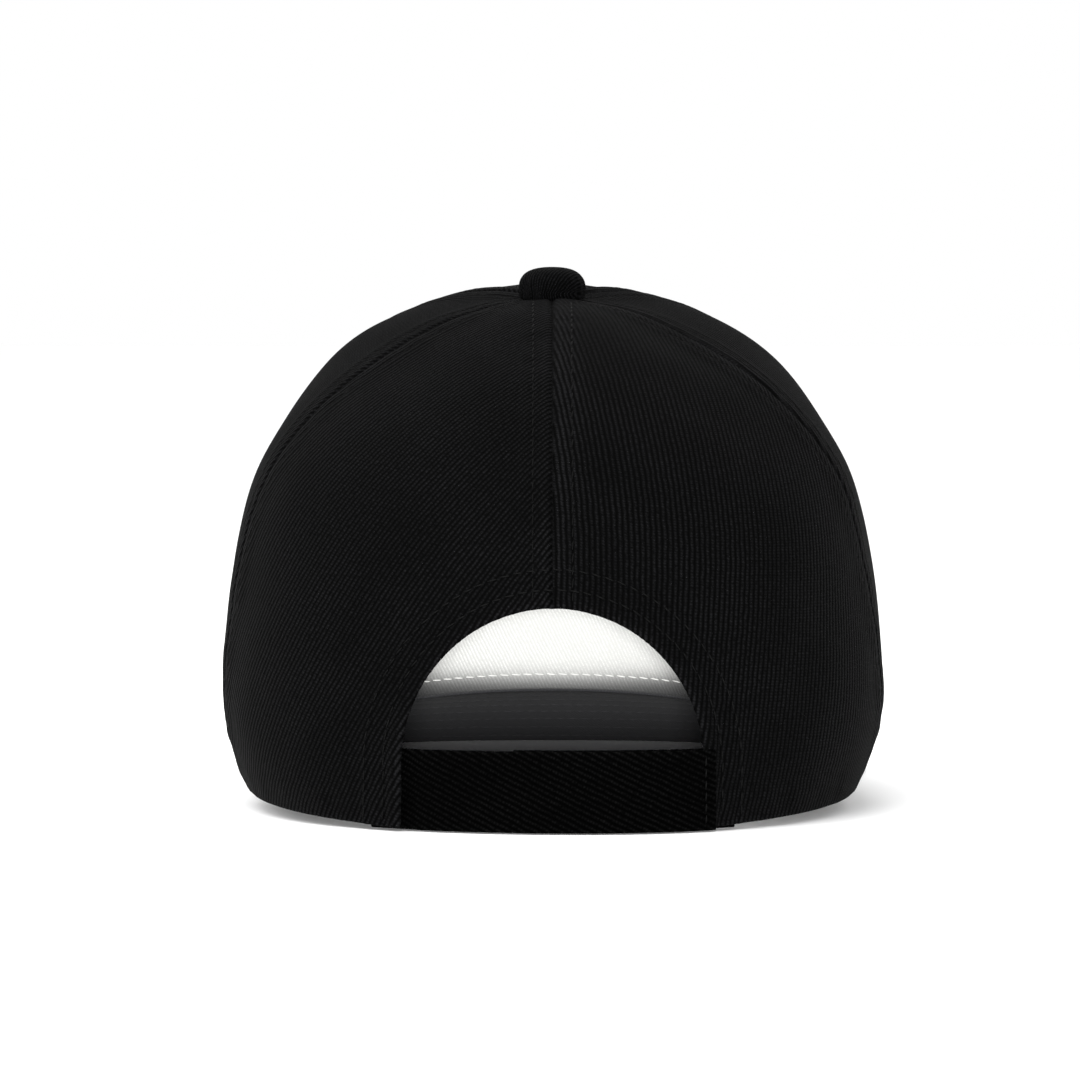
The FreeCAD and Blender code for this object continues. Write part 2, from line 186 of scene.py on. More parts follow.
def on_back(x, z):
    """Azimuth and station of the crown's back face at this X and Z."""
    x = np.asarray(x, float)
    z = np.asarray(z, float)
    azimuth = np.degrees(np.arctan2(x, BACK_REACH))
    station = np.full_like(x, float(LAST))
    for _ in range(40):
        point = crown(azimuth, np.clip(station, 0.5, LAST + 0.4))
        azimuth = azimuth + (x - point[..., 0]) * 0.5
        station = np.clip(station + (point[..., 2] - z) / STATION_DROP, 0.5, LAST + 0.4)
    return azimuth, station


arch_line = arch_outline()
arch_az, arch_st = on_back(arch_line[:, 0], arch_line[:, 1])
arch_edge = crown(arch_az, arch_st)
print("arch edge", round(arc_lengths(arch_edge)[-1]), "mm long")

# %% [markdown]
# ## Building blocks
# Every sewn piece starts as a flat grid, as cloth starts as a flat cut, and its vertices are then laid
# on the crown. The UV map keeps millimetres along the cloth, so the weave has its true size on every
# piece. Faces are turned to point outwards before a Solidify modifier gives the cloth its thickness.

# %% Sheets of cloth
def new_object(name, mesh, material, body=None):
    """Puts a mesh in the scene with its finish, on the frame body that it moves with."""
    piece = bpy.data.objects.new(name, mesh)
    bpy.context.scene.collection.objects.link(piece)
    mesh.materials.append(material)
    mesh.shade_smooth()
    if body:
        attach(piece, body)
    return piece


def sheet_mesh(name, points, uv, outward, wear_and_painted_light=None):
    """A grid of cloth through rows of points in millimetres, its faces turned towards outward."""
    rows, columns = points.shape[:2]
    across = points[rows // 2, columns // 2 + 1] - points[rows // 2, columns // 2]
    along = points[rows // 2 + 1, columns // 2] - points[rows // 2, columns // 2]
    if np.dot(np.cross(across, along), outward) < 0:
        points = points[:, ::-1]
        uv = uv[:, ::-1]
        wear_and_painted_light = None if wear_and_painted_light is None else wear_and_painted_light[:, ::-1]
    bm = bmesh.new()
    bmesh.ops.create_grid(bm, x_segments=columns - 1, y_segments=rows - 1, size=1)
    mesh = bpy.data.meshes.new(name)
    bm.to_mesh(mesh)
    bm.free()
    mesh.vertices.foreach_set("co", (points * MM).ravel())
    corner = np.empty(len(mesh.loops), dtype=np.int64)
    mesh.loops.foreach_get("vertex_index", corner)
    layer = mesh.uv_layers.new(name="cloth")
    layer.data.foreach_set("uv", (uv.reshape(-1, 2)[corner] * MM).ravel())
    if wear_and_painted_light is not None:
        tone_shift = mesh.attributes.new("wear_and_painted_light", "FLOAT", "POINT")
        tone_shift.data.foreach_set("value", wear_and_painted_light.astype(np.float32).ravel())
    mesh.update()
    return mesh


def thicken(piece, thickness):
    """Thickness in millimetres, taken inwards from the face that was laid down."""
    solid = piece.modifiers.new("thickness", "SOLIDIFY")
    solid.thickness = thickness * MM
    solid.offset = -1.0


print("grid of cloth, UV map in millimetres, optional attribute for wear and painted light")


# %% Steps and noise
def crowded(count, low=0.0, high=1.0, crowd=0.6):
    """Steps from low to high, closer together at both ends, where the seams are."""
    t = np.linspace(0, 1, count)
    u = crowd * 0.5 * (1 - np.cos(math.pi * t)) + (1 - crowd) * t
    return low + (high - low) * u


LATTICE = np.random.default_rng(7).uniform(-1, 1, (48, 48, 48))
print("noise lattice", LATTICE.shape)


def noise_at(points, size, seed):
    """Smooth noise from -1 to 1 at these points; size is the size of its lumps in millimetres."""
    place = np.asarray(points, float) / size + seed * 7.31
    missing = 3 - place.shape[-1]
    if missing:
        place = np.concatenate([place, np.full(place.shape[:-1] + (missing,), seed * 3.7)], -1)
    cell = np.floor(place).astype(int)
    part = place - cell
    part = part ** 3 * (part * (part * 6 - 15) + 10)
    total = 0
    for corner in np.ndindex(2, 2, 2):
        weight = np.where(np.array(corner) == 1, part, 1 - part).prod(-1)
        i, j, k = np.moveaxis((cell + corner) % len(LATTICE), -1, 0)
        total = total + weight * LATTICE[i, j, k]
    return total


# %% [markdown]
# ## Relief of the sewn cloth
# What makes a cap look sewn is a few tenths of a millimetre deep. Each seam sinks into a narrow groove,
# with a low ridge on both sides where its allowance is pressed open underneath. Thread pulls a furrow
# into the ridge, and the cloth puckers a little beside it. At a hem the cloth rolls over its own edge.
# One function gives that relief anywhere on the crown, so the panels, the thread and the hems agree.

# %% Relief
STITCH = 3.2              # length of one stitch
SEAM_ROW = 4.8            # topstitch rows stand this far from a seam
ARCH_ROWS = (4.3, 9.0)    # and these far from the arch's edge
HEM_ROLL = 1.0


def falls(distance, middle, width):
    """1 well below middle, 0 well above it."""
    return 1 / (1 + np.exp(np.clip((distance - middle) / width, -40, 40)))


def furrow(distance, place, width=0.65):
    return np.exp(-((distance - place) / width) ** 2)


def edge_roll(distance):
    """How far a folded edge turns away from the face."""
    u = np.clip(1 - distance / HEM_ROLL, 0, 1)
    return HEM_ROLL * 0.85 * (1 - np.sqrt(np.clip(1 - u * u, 0, 1)))


def seam_distance(points, azimuth, station):
    """Distance to the nearest seam, and where along it: each seam's run starts at a number of its own."""
    radius = np.hypot(points[..., 0], points[..., 1])
    a = np.abs((np.asarray(azimuth) + 180) % 360 - 180)
    seams = (np.zeros_like(a), side_seam(station), np.full_like(a, SEAM_FRONT), np.full_like(a, 180.0))
    gaps = np.stack([np.abs(a - s) for s in seams]) * math.pi / 180 * radius
    nearest = gaps.argmin(0)
    side = np.sign(azimuth)
    return gaps.min(0), np.asarray(station) * STATION_LENGTH + nearest * 400.0 + side * 57.0


# %% Distance to the arch
arch_fine = np.stack([np.interp(np.linspace(0, 1, 500), np.linspace(0, 1, len(arch_edge)), arch_edge[:, i])
                      for i in range(3)], -1)
arch_run = arc_lengths(arch_fine)
FAR = 200.0


def arch_distance(points):
    """Distance to the arch's edge, and how far round the arch the nearest point is."""
    flat = points.reshape(-1, 3)
    distance = np.full(len(flat), FAR)
    run = np.zeros(len(flat))
    near = (flat[:, 1] > 40) & (flat[:, 2] < 95)        # the rest of the crown is far from the arch
    for block in np.array_split(np.nonzero(near)[0], 40):
        if len(block):
            gaps = np.linalg.norm(flat[block, None] - arch_fine[None], axis=-1)
            distance[block] = gaps.min(1)
            run[block] = arch_run[gaps.argmin(1)]
    return distance.reshape(points.shape[:-1]), run.reshape(points.shape[:-1])


print("arch edge in", len(arch_fine), "points")


# %% Height and wear of the sewn cloth
def crown_relief(points, azimuth, station):
    """How far the sewn cloth stands proud of the crown's plain surface, in millimetres."""
    seam, along = seam_distance(points, azimuth, station)
    arch, run = arch_distance(points)
    base = (LAST - np.asarray(station)) * STATION_LENGTH
    height = 0.32 * falls(seam, 7.5, 0.6) - 0.75 * furrow(seam, 0, 0.75) - 0.22 * furrow(seam, SEAM_ROW)
    seam_pucker = noise_at(along[..., None], 3.6, 1) * np.exp(-((seam - 4.0) / 3.5) ** 2)
    hem = 0.35 * falls(arch, 10.8, 0.5) - edge_roll(arch)
    hem -= 0.22 * (furrow(arch, ARCH_ROWS[0]) + furrow(arch, ARCH_ROWS[1]))
    hem += 0.75 * furrow(arch, 1.9, 1.5) * falls(points[..., 2], 30.0, 6.0)     # its feet are thicker
    hem_pucker = noise_at(run[..., None], 3.4, 2) * np.exp(-((arch - 6.5) / 3.6) ** 2)
    foot = 0.25 * falls(base, 9.0, 0.6) - edge_roll(base)
    base_pucker = noise_at((np.asarray(azimuth) * 1.5)[..., None] + 0 * base[..., None], 4.2, 3)
    base_pucker = base_pucker * np.exp(-((base - 5.0) / 4.0) ** 2)
    stiff = np.clip((np.abs(azimuth) - 110) / 20, 0, 1)
    slack = noise_at(points, 34.0, 4) * 0.75 + noise_at(points, 15.0, 5) * 0.22
    slack = slack * (1 - 0.7 * stiff) * np.clip(base / 25.0, 0.25, 1)
    return height + hem + foot + 0.30 * seam_pucker + 0.38 * hem_pucker + 0.25 * base_pucker + slack


def lighter_edges_and_painted_sheen(points, azimuth, station):
    """Where the ribs are made lighter: on hem and base edges and beside the seams, and in a painted sheen
    right of the centre back.
    """
    seam, along = seam_distance(points, azimuth, station)
    arch, run = arch_distance(points)
    base = (LAST - np.asarray(station)) * STATION_LENGTH
    ridge = np.exp(-((seam - 1.9) / 0.9) ** 2) * (0.7 + 0.5 * noise_at(along[..., None], 5.0, 6))
    hem = np.exp(-((arch - 0.7) / 0.6) ** 2) * (0.9 + 0.5 * noise_at(run[..., None], 5.0, 7))
    fold = -np.radians(azimuth) * np.hypot(points[..., 0], points[..., 1])
    # Painted sheen: a lighter strip just right of the centre back seam on the upper crown, where light
    # catches the cloth.
    painted_sheen = 1.5 * furrow(fold, 3.2, 3.2) * falls(station, 4.2, 0.5) * (np.abs(azimuth) < 60) * (fold > 0.3)
    return np.clip(painted_sheen + 0.8 * ridge + 1.3 * hem + 0.7 * furrow(base, 0.8, 0.8), 0, 3)


def sewn(azimuth, station):
    """Points on the sewn crown."""
    points = crown(azimuth, station)
    relief = crown_relief(points, azimuth, station)
    return points + crown_normal(azimuth, station) * relief[..., None]


print("the centre back seam sinks", round(float(crown(0.0, 3.0)[1] - sewn(0.0, 3.0)[1]), 2), "mm")


# %% [markdown]
# ## Materials: two small helpers, then one function for each kind of cloth
# Black cotton twill is woven so that each pass of the weft steps one warp thread sideways, which draws
# raised diagonal ribs, the wales, about 1.3 mm apart. Worn ribs catch the light and the gaps between
# them stay nearly black. All panels are cut from one cloth, so the ribs lean the same way, except on
# the right back panel, which was laid a few degrees round, and on the strap, which is cut across.

# %% Helpers for materials
def linear(hex_colour):
    """sRGB hex to linear RGBA."""
    channels = [int(hex_colour[i:i + 2], 16) / 255 for i in (1, 3, 5)]
    return tuple(c / 12.92 if c <= 0.04045 else ((c + 0.055) / 1.055) ** 2.4 for c in channels) + (1.0,)


def new_material(name):
    material = bpy.data.materials.new(name)
    material.use_nodes = True
    tree = material.node_tree
    return material, tree, tree.nodes["Principled BSDF"]


def feed(tree, node, inputs):
    """Gives a node its inputs by name or number: a value, a socket, or a node's first output."""
    for key, value in inputs.items():
        if isinstance(value, bpy.types.Node):
            value = value.outputs[0]
        if isinstance(value, bpy.types.NodeSocket):
            tree.links.new(value, node.inputs[key])
        else:
            node.inputs[key].default_value = value


def add(tree, kind, inputs=(), **settings):
    """Adds a node with its settings and its inputs."""
    node = tree.nodes.new("ShaderNode" + kind)
    for key, value in settings.items():
        setattr(node, key, value)
    feed(tree, node, dict(inputs))
    return node


print("black of the gaps", [round(c, 4) for c in linear("#010101")])


# %% Weave
def woven(tree, angle, pitch, bead, wander, shift):
    """Ribs at angle degrees, pitch mm apart, of threads bead mm long; each row starts shift later."""
    uv = add(tree, "UVMap", uv_map="cloth").outputs["UV"]
    jitter = add(tree, "TexNoise", {"Vector": uv, "Scale": 1 / (4.0 * MM), "Detail": 2.0})
    offset = add(tree, "VectorMath", {0: jitter.outputs["Color"], 1: (0.5, 0.5, 0.5)}, operation="SUBTRACT")
    small = add(tree, "VectorMath", {0: offset, "Scale": wander * MM}, operation="SCALE")
    moved = add(tree, "VectorMath", {0: uv, 1: small}, operation="ADD")
    scale = 1 / (pitch * MM)
    turned = add(tree, "Mapping", {"Vector": moved, "Scale": (scale, scale, scale),
                                   "Rotation": (0, 0, -math.radians(angle))})
    axes = add(tree, "SeparateXYZ", {0: turned})
    turn = add(tree, "Math", {0: axes.outputs["Y"], 1: 2 * math.pi}, operation="MULTIPLY")
    rib = add(tree, "Math", {0: turn}, operation="COSINE")
    rib = add(tree, "Math", {0: rib, 1: 0.5, 2: 0.5}, operation="MULTIPLY_ADD")
    row = add(tree, "Math", {0: axes.outputs["Y"]}, operation="ROUND")
    step = add(tree, "Math", {0: row, 1: shift}, operation="MULTIPLY")
    run = add(tree, "Math", {0: axes.outputs["X"], 1: pitch / bead, 2: step}, operation="MULTIPLY_ADD")
    wave = add(tree, "Math", {0: run, 1: 2 * math.pi}, operation="MULTIPLY")
    thread = add(tree, "Math", {0: wave}, operation="COSINE")
    thread = add(tree, "Math", {0: thread, 1: 0.22, 2: 0.78}, operation="MULTIPLY_ADD")
    return uv, rib, thread


def twill(name, gap, rib_colour, angle=63.0, pitch=1.3, bead=0.75, shift=0.37, sheen=0.12, gloss=0.08,
          depth=0.30):
    """Cotton twill: gap is the colour between the ribs, rib_colour that of their crests, lighter with wear.
    """
    material, tree, shader = new_material(name)
    uv, rib, thread = woven(tree, angle, pitch, bead, 0.55, shift)
    height = add(tree, "Math", {0: rib, 1: thread}, operation="MULTIPLY")
    fibre = add(tree, "TexNoise", {"Vector": uv, "Scale": 1 / (0.9 * MM), "Detail": 3.0, "Roughness": 0.7})
    patch = add(tree, "TexNoise", {"Vector": uv, "Scale": 1 / (22.0 * MM), "Detail": 2.0})
    fibre_range = add(tree, "MapRange", {"Value": fibre, "From Min": 0.30, "From Max": 0.72,
                                         "To Min": 0.15, "To Max": 1.3})
    patch_range = add(tree, "MapRange", {"Value": patch, "From Min": 0.3, "From Max": 0.7,
                                         "To Min": 0.75, "To Max": 1.15})
    lit = add(tree, "Math", {0: height, 1: fibre_range}, operation="MULTIPLY")
    lit = add(tree, "Math", {0: lit, 1: patch_range}, operation="MULTIPLY")
    # The mesh attribute lightens the ribs: wear on edges and seams and a painted sheen beside the back seam.
    # On the sweatband it holds painted shade.
    wear_and_painted_light = add(tree, "Attribute", attribute_name="wear_and_painted_light").outputs["Fac"]
    tone_shift = add(tree, "Math", {0: wear_and_painted_light, 1: 0.55, 2: 1.0}, operation="MULTIPLY_ADD")
    lit = add(tree, "Math", {0: lit, 1: tone_shift}, operation="MULTIPLY")
    lit = add(tree, "Math", {0: lit, 1: 1.35}, operation="POWER")
    colour = add(tree, "Mix", {"Factor": lit, "A": linear(gap), "B": linear(rib_colour)}, data_type="RGBA")
    rough = add(tree, "TexNoise", {"Vector": uv, "Scale": 1 / (0.35 * MM), "Detail": 2.0})
    raised = add(tree, "Math", {0: rough, 1: 0.30, 2: height}, operation="MULTIPLY_ADD")
    bump = add(tree, "Bump", {"Height": raised, "Strength": 0.9, "Distance": depth * MM})
    feed(tree, shader, {"Base Color": colour.outputs["Result"], "Normal": bump, "Roughness": 0.72,
                        "Specular IOR Level": gloss, "Sheen Weight": sheen, "Sheen Roughness": 0.45})
    return material


# %% The cloths, threads and hard finishes
# The colours are those of deep black cloth. The white cloths have finer ribs.
black_twill = twill("black cotton twill", "#010101", "#111112", sheen=0.006, gloss=0.012)
right_twill = twill("black cotton twill, turned", "#010101", "#111112", angle=75.0, sheen=0.006, gloss=0.012)
button_twill = twill("black cotton twill, stretched on the button", "#010101", "#0d0d0e", pitch=0.85,
                     sheen=0.005, gloss=0.01)
strap_twill = twill("black cotton twill, on the cross", "#000000", "#080808", angle=-27.0, pitch=1.35,
                    sheen=0.004, gloss=0.006)
tape_twill = twill("white cotton tape", "#d2d2cf", "#f6f6f3", angle=45, pitch=0.8, bead=0.5, depth=0.10,
                   gloss=0.2)
label_satin = twill("blank satin label", "#e4e4e2", "#fafafa", angle=0, pitch=0.3, bead=1.5, depth=0.03,
                    gloss=0.4)


def thread_material(name, colour):
    """Spun polyester thread: two plies twisted together, a little glossier than the cloth."""
    material, tree, shader = new_material(name)
    place = add(tree, "TexCoord").outputs["Object"]
    ply = add(tree, "TexWave", {"Vector": place, "Scale": 1 / (0.9 * MM) / 6.28, "Distortion": 2.0},
              bands_direction="DIAGONAL")
    bump = add(tree, "Bump", {"Height": ply.outputs["Fac"], "Strength": 0.5, "Distance": 0.08 * MM})
    feed(tree, shader, {"Base Color": linear(colour), "Normal": bump, "Roughness": 0.5,
                        "Specular IOR Level": 0.04, "Sheen Weight": 0.005})
    return material


black_thread = thread_material("black polyester thread", "#040404")
white_thread = thread_material("white polyester thread", "#ecece9")
print("materials", len(bpy.data.materials))

# %% [markdown]
# ## The six panels
# A side or front panel is a plain grid between its two seams. A back panel is not, because the arch
# bites into it. Its grid is stretched between four curves instead: the arch's edge, the centre seam,
# the side seam and the base. Its rows then follow the arch, so the hem can roll over cleanly.

# %% Panels
PANEL_THICKNESS = 0.9
TOP = 0.06                # the panels meet under the button, this far down in stations


def cloth_uv(points, azimuth, station, centre):
    """Millimetres across and along the cloth, from the panel's own centre line."""
    radius = np.hypot(points[..., 0], points[..., 1])
    middle = centre(station)
    levels = np.linspace(0, LAST + 0.4, 200)
    run = arc_lengths(crown(centre(levels), levels))
    along = np.interp(station, levels, run)
    across = -(np.asarray(azimuth) - middle) * math.pi / 180 * radius
    return np.stack([across, -along], -1)


def crown_panel(name, azimuth, station, centre, material=black_twill):
    plain = crown(azimuth, station)
    points = sewn(azimuth, station)
    outward = crown_normal(azimuth, station)[len(points) // 2, points.shape[1] // 2]
    mesh = sheet_mesh(name, points, cloth_uv(plain, azimuth, station, centre), outward,
                      lighter_edges_and_painted_sheen(plain, azimuth, station))
    piece = new_object(name, mesh, material, "crown")
    thicken(piece, PANEL_THICKNESS)
    return piece


def plain_panel(name, low_seam, high_seam, sign):
    """A panel between two seams; sign is 1 on the wearer's left, -1 on the right."""
    levels = crowded(150, TOP, LAST, 0.55)[:, None]
    share = crowded(90)[None, :]
    low = low_seam(levels)
    high = high_seam(levels)
    azimuth = sign * (low + (high - low) * share)
    station = np.broadcast_to(levels, azimuth.shape)
    return crown_panel(name, azimuth, station, lambda s: sign * (low_seam(s) + high_seam(s)) / 2)


print("a panel is", PANEL_THICKNESS, "mm of cloth")


# %% The back panel's grid
def flat(azimuth, station):
    """The polar plan that the back panel's grid is stretched in."""
    a = np.radians(azimuth)
    return np.stack([station * np.sin(a), station * np.cos(a)], -1)


def back_grid(sign, rows=130, columns=120):
    """Azimuths and stations of a back panel: rows leave the arch's edge, columns run round it."""
    half = len(arch_az) // 2 + 1
    edge_az = np.abs(arch_az[:half][::-1])
    edge_st = np.minimum(arch_st[:half][::-1], LAST)
    edge_az[0] = 0.0
    run = arc_lengths(crown(edge_az, edge_st))
    phi = crowded(columns)
    arch_side = flat(np.interp(phi * run[-1], run, edge_az), np.interp(phi * run[-1], run, edge_st))
    arch_side[-1] = flat(edge_az[-1], LAST)
    seam_levels = LAST * phi
    seam_side = flat(side_seam(seam_levels), seam_levels)
    rho = crowded(rows)
    centre_side = flat(np.zeros(rows), edge_st[0] * (1 - rho))
    base_az = edge_az[-1] + (SEAM_BASE - edge_az[-1]) * rho
    base_side = flat(base_az, np.full(rows, float(LAST)))
    r = rho[:, None, None]
    p = phi[None, :, None]
    grid = (1 - r) * arch_side[None] + r * seam_side[None]
    grid = grid + (1 - p) * centre_side[:, None] + p * base_side[:, None]
    corners = (1 - r) * (1 - p) * arch_side[0] + (1 - r) * p * arch_side[-1]
    corners = corners + r * (1 - p) * seam_side[0] + r * p * seam_side[-1]
    grid = grid - corners
    azimuth = sign * np.degrees(np.arctan2(grid[..., 0], grid[..., 1]))
    station = np.clip(np.hypot(grid[..., 0], grid[..., 1]), TOP, LAST)
    azimuth[-1, 0] = sign * SEAM_TOP
    return azimuth, station


print("back panel grid", back_grid(1)[0].shape)

# %% Six panels
for side, sign in (("left", 1), ("right", -1)):
    azimuth, station = back_grid(sign)
    back = crown_panel("back_panel_" + side + "_cloth", azimuth, station,
                       lambda s: sign * side_seam(s) / 2, black_twill if sign > 0 else right_twill)
    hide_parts("back_panel_" + side)
    wing = plain_panel("side_panel_" + side + "_cloth", side_seam, steady(SEAM_FRONT), sign)
    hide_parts("side_panel_" + side)
    front = plain_panel("front_panel_" + side + "_cloth", steady(SEAM_FRONT), steady(180.0), sign)
    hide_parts("front_panel_" + side)
    for piece in (back, wing, front):
        print(piece.name, len(piece.data.vertices), "vertices")

# %% [markdown]
# ## Thread
# Topstitching holds the seam allowances flat. Each visible stitch is a short length of thread that
# comes up out of the cloth, lies on it and goes down again, so it is a small rounded bead, sunk by a
# third. A row is one mesh: hundreds of beads, each with only a few faces.

# %% Rows of stitches
THREAD = 0.42             # its diameter, pressed into the cloth by SINK
SINK, BEAD_SHARE = 0.16, 0.80                           # a bead fills this share of its stitch


def bead_row(bm, points, normals, pitch):
    """Adds one bead per stitch along a path of points in millimetres."""
    run = arc_lengths(points)
    for i in range(int(run[-1] / pitch)):
        middle = (i + 0.5) * pitch
        ends = [np.array([np.interp(middle + d, run, points[:, k]) for k in range(3)])
                for d in (-0.3 * pitch, 0.3 * pitch)]
        normal = Vector([np.interp(middle, run, normals[:, k]) for k in range(3)]).normalized()
        forward = Vector(ends[1] - ends[0]).normalized()
        sideways = normal.cross(forward).normalized()
        forward = (forward - 0.10 * sideways).normalized()      # each stitch slants a little
        sideways = normal.cross(forward).normalized()
        place = Vector((ends[0] + ends[1]) / 2) + normal * (THREAD / 2 - SINK)
        turn = Matrix((forward, sideways, normal)).transposed().to_4x4()
        size = Matrix.Diagonal((BEAD_SHARE * pitch / 2, THREAD / 2, THREAD / 2, 1))
        matrix = Matrix.Scale(MM, 4) @ Matrix.Translation(place) @ turn @ size
        bmesh.ops.create_uvsphere(bm, u_segments=8, v_segments=5, radius=1.0,
                                  matrix=matrix @ Matrix.Rotation(math.pi / 2, 4, "Y"))


def rows_of(name, fill, rows):
    """One mesh of many rows. Each row is built alone, because operators slow down as a mesh grows."""
    work, scratch = bmesh.new(), bpy.data.meshes.new("scratch")
    for row in rows:
        bm = bmesh.new()
        fill(bm, *row)
        bm.to_mesh(scratch)
        bm.free()
        work.from_mesh(scratch)
    bpy.data.meshes.remove(scratch)
    mesh = bpy.data.meshes.new(name)
    work.to_mesh(mesh)
    work.free()
    print(name, len(rows), "rows,", len(mesh.polygons), "faces")
    return mesh


def stitched(name, paths, material, body="crown", pitch=STITCH):
    """One piece of thread work along several paths, each (points, normals)."""
    mesh = rows_of(name, lambda bm, points, normals: bead_row(bm, points, normals, pitch), paths)
    new_object(name, mesh, material, body)


# %% Stitches beside the seams and round the arch
def on_crown(azimuth, station):
    return sewn(azimuth, station), crown_normal(azimuth, station)


def beside(seam, offset, low, high, sign):
    """A path offset millimetres beside a seam."""
    station = np.linspace(low, high, 260)
    centre = sign * seam(station)
    plain = crown(centre, station)
    azimuth = centre + np.degrees(offset / np.hypot(plain[:, 0], plain[:, 1]))
    return on_crown(azimuth, station)


STITCH_TOP = 0.75         # the rows start here, in stations, hidden by the button
arch_top_station = float(np.interp(0.0, -arch_line[:, 0], arch_st))
seam_paths = []
for offset in (-SEAM_ROW, SEAM_ROW):
    seam_paths.append(beside(steady(0.0), offset, STITCH_TOP, arch_top_station - 0.05, 1))
    seam_paths.append(beside(steady(180.0), offset, STITCH_TOP, LAST - 0.1, 1))
    for sign in (1, -1):
        for seam in (side_seam, steady(SEAM_FRONT)):
            seam_paths.append(beside(seam, offset, STITCH_TOP, LAST - 0.1, sign))
stitched("seam_topstitching", seam_paths, black_thread)


def round_the_arch(distance):
    line = arch_outline(distance)
    azimuth, station = on_back(line[:, 0], line[:, 1])
    keep = (station < LAST - 0.02) & (line[:, 1] > 1.2)
    return on_crown(azimuth[keep], station[keep])


stitched("arch_topstitching", [round_the_arch(d) for d in ARCH_ROWS], black_thread)

# %% [markdown]
# ## Linings
# Inside a cap are stiff white buckram behind the two front panels, tape over every seam allowance, and
# a sweatband. The sweatband is a folded strip, sewn along its lower edge only, so its top edge stands a
# little off the crown and waves. The hem of the arch is faced with the same twill as the crown.

# %% Lining cloth
buckram_cloth = twill("white buckram, stiffened", "#c4c4c0", "#f2f2ee", angle=0, pitch=1.1, bead=1.1,
                      shift=0.5, depth=0.15, gloss=0.2)


def lining(name, azimuth, station, depth, thickness, material, centre, tone_shift=None):
    """Cloth on the crown's inner side: its outer face lies depth inside the crown's face."""
    plain = crown(azimuth, station)
    normal = crown_normal(azimuth, station)
    points = plain - normal * (np.asarray(depth) + np.zeros(plain.shape[:-1]))[..., None]
    outward = normal[len(points) // 2, points.shape[1] // 2]
    mesh = sheet_mesh(name, points, cloth_uv(plain, azimuth, station, centre), outward, tone_shift)
    piece = new_object(name, mesh, material, "crown")
    thicken(piece, thickness)
    return piece


def station_above_base(azimuth, rise):
    """The station that lies rise millimetres along the crown above its edge."""
    azimuth = np.asarray(azimuth, float)
    rise = np.broadcast_to(rise, azimuth.shape)
    levels = np.linspace(LAST + 0.3, LAST - 3.2, 71)
    runs = crown(azimuth[:, None], levels[None])
    steps = np.linalg.norm(np.diff(runs, axis=1), axis=-1)
    length = np.concatenate([np.zeros((len(steps), 1)), np.cumsum(steps, 1)], 1)
    length = length - length[:, 6:7]
    return np.array([np.interp(r, row, levels) for r, row in zip(rise, length)])


def sweatband_twill():
    """White twill with a shade painted along its lower edge, the shade that falls low inside the cap. Its
    mesh attribute holds the painted shade.
    """
    material = twill("white cotton twill, with painted shade along its lower edge", "#d9d9d6", "#fbfbf9", pitch=0.9, bead=0.5,
                     depth=0.08, gloss=0.1)
    tree = material.node_tree
    shader = tree.nodes["Principled BSDF"]
    cloth = shader.inputs["Base Color"].links[0].from_socket
    painted_shade = add(tree, "Attribute", attribute_name="wear_and_painted_light").outputs["Fac"]
    # Painted shade: dark grey is mixed into the white cloth where the attribute is high.
    shaded_cloth = add(tree, "Mix", {"Factor": painted_shade, "A": cloth, "B": linear("#2a2a2b")}, data_type="RGBA")
    tree.links.new(shaded_cloth.outputs["Result"], shader.inputs["Base Color"])
    return material


band_twill = sweatband_twill()

print("linings use", buckram_cloth.name, "and", band_twill.name)

# %% Buckram and seam tapes
BUCKRAM_DEPTH, BUCKRAM_INSET = 1.0, (4.0, 2.0)          # degrees that it stops short of its two seams
TAPE_DEPTH, TAPE_WIDTH, TAPE_ROW = 1.6, 12.0, 4.8
LINING_TOP, LINING_BASE = 1.5, LAST - 0.15              # in stations

for side, sign in (("left", 1), ("right", -1)):
    levels = np.linspace(LINING_TOP, LINING_BASE, 70)[:, None]
    share = np.linspace(0, 1, 50)[None, :]
    low, high = SEAM_FRONT + BUCKRAM_INSET[0], 180 - BUCKRAM_INSET[1]
    azimuth = sign * (low + (high - low) * share + 0 * levels)
    stiff = lining("buckram_" + side + "_cloth", azimuth, levels + 0 * share, BUCKRAM_DEPTH, 0.5,
                   buckram_cloth, steady(sign * (SEAM_FRONT + 180) / 2))
    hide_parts("buckram_" + side)


def seam_tape(name, seam, sign, low, high):
    """One tape along a seam, and the two paths that its stitches follow."""
    levels = np.linspace(low, high, 100)[:, None]
    offset = np.linspace(-TAPE_WIDTH / 2, TAPE_WIDTH / 2, 15)[None, :]
    centre = sign * seam(levels)
    middle = crown(centre, levels)
    per_mm = np.degrees(1 / np.hypot(middle[..., 0], middle[..., 1]))
    raised = TAPE_DEPTH + 0.25 * furrow(np.abs(offset), 2.6, 1.3) - 0.1 * furrow(np.abs(offset), TAPE_ROW)
    tape = lining(name + "_cloth", centre + per_mm * offset, levels + 0 * offset, raised, 0.4, tape_twill,
                  lambda s: sign * seam(s))
    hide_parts(name)
    paths = []
    for row in (-TAPE_ROW, TAPE_ROW):
        azimuth = (centre + per_mm * row)[:, 0]
        normal = -crown_normal(azimuth, levels[:, 0])
        paths.append((crown(azimuth, levels[:, 0]) + normal * (TAPE_DEPTH + 0.38), normal))
    return paths


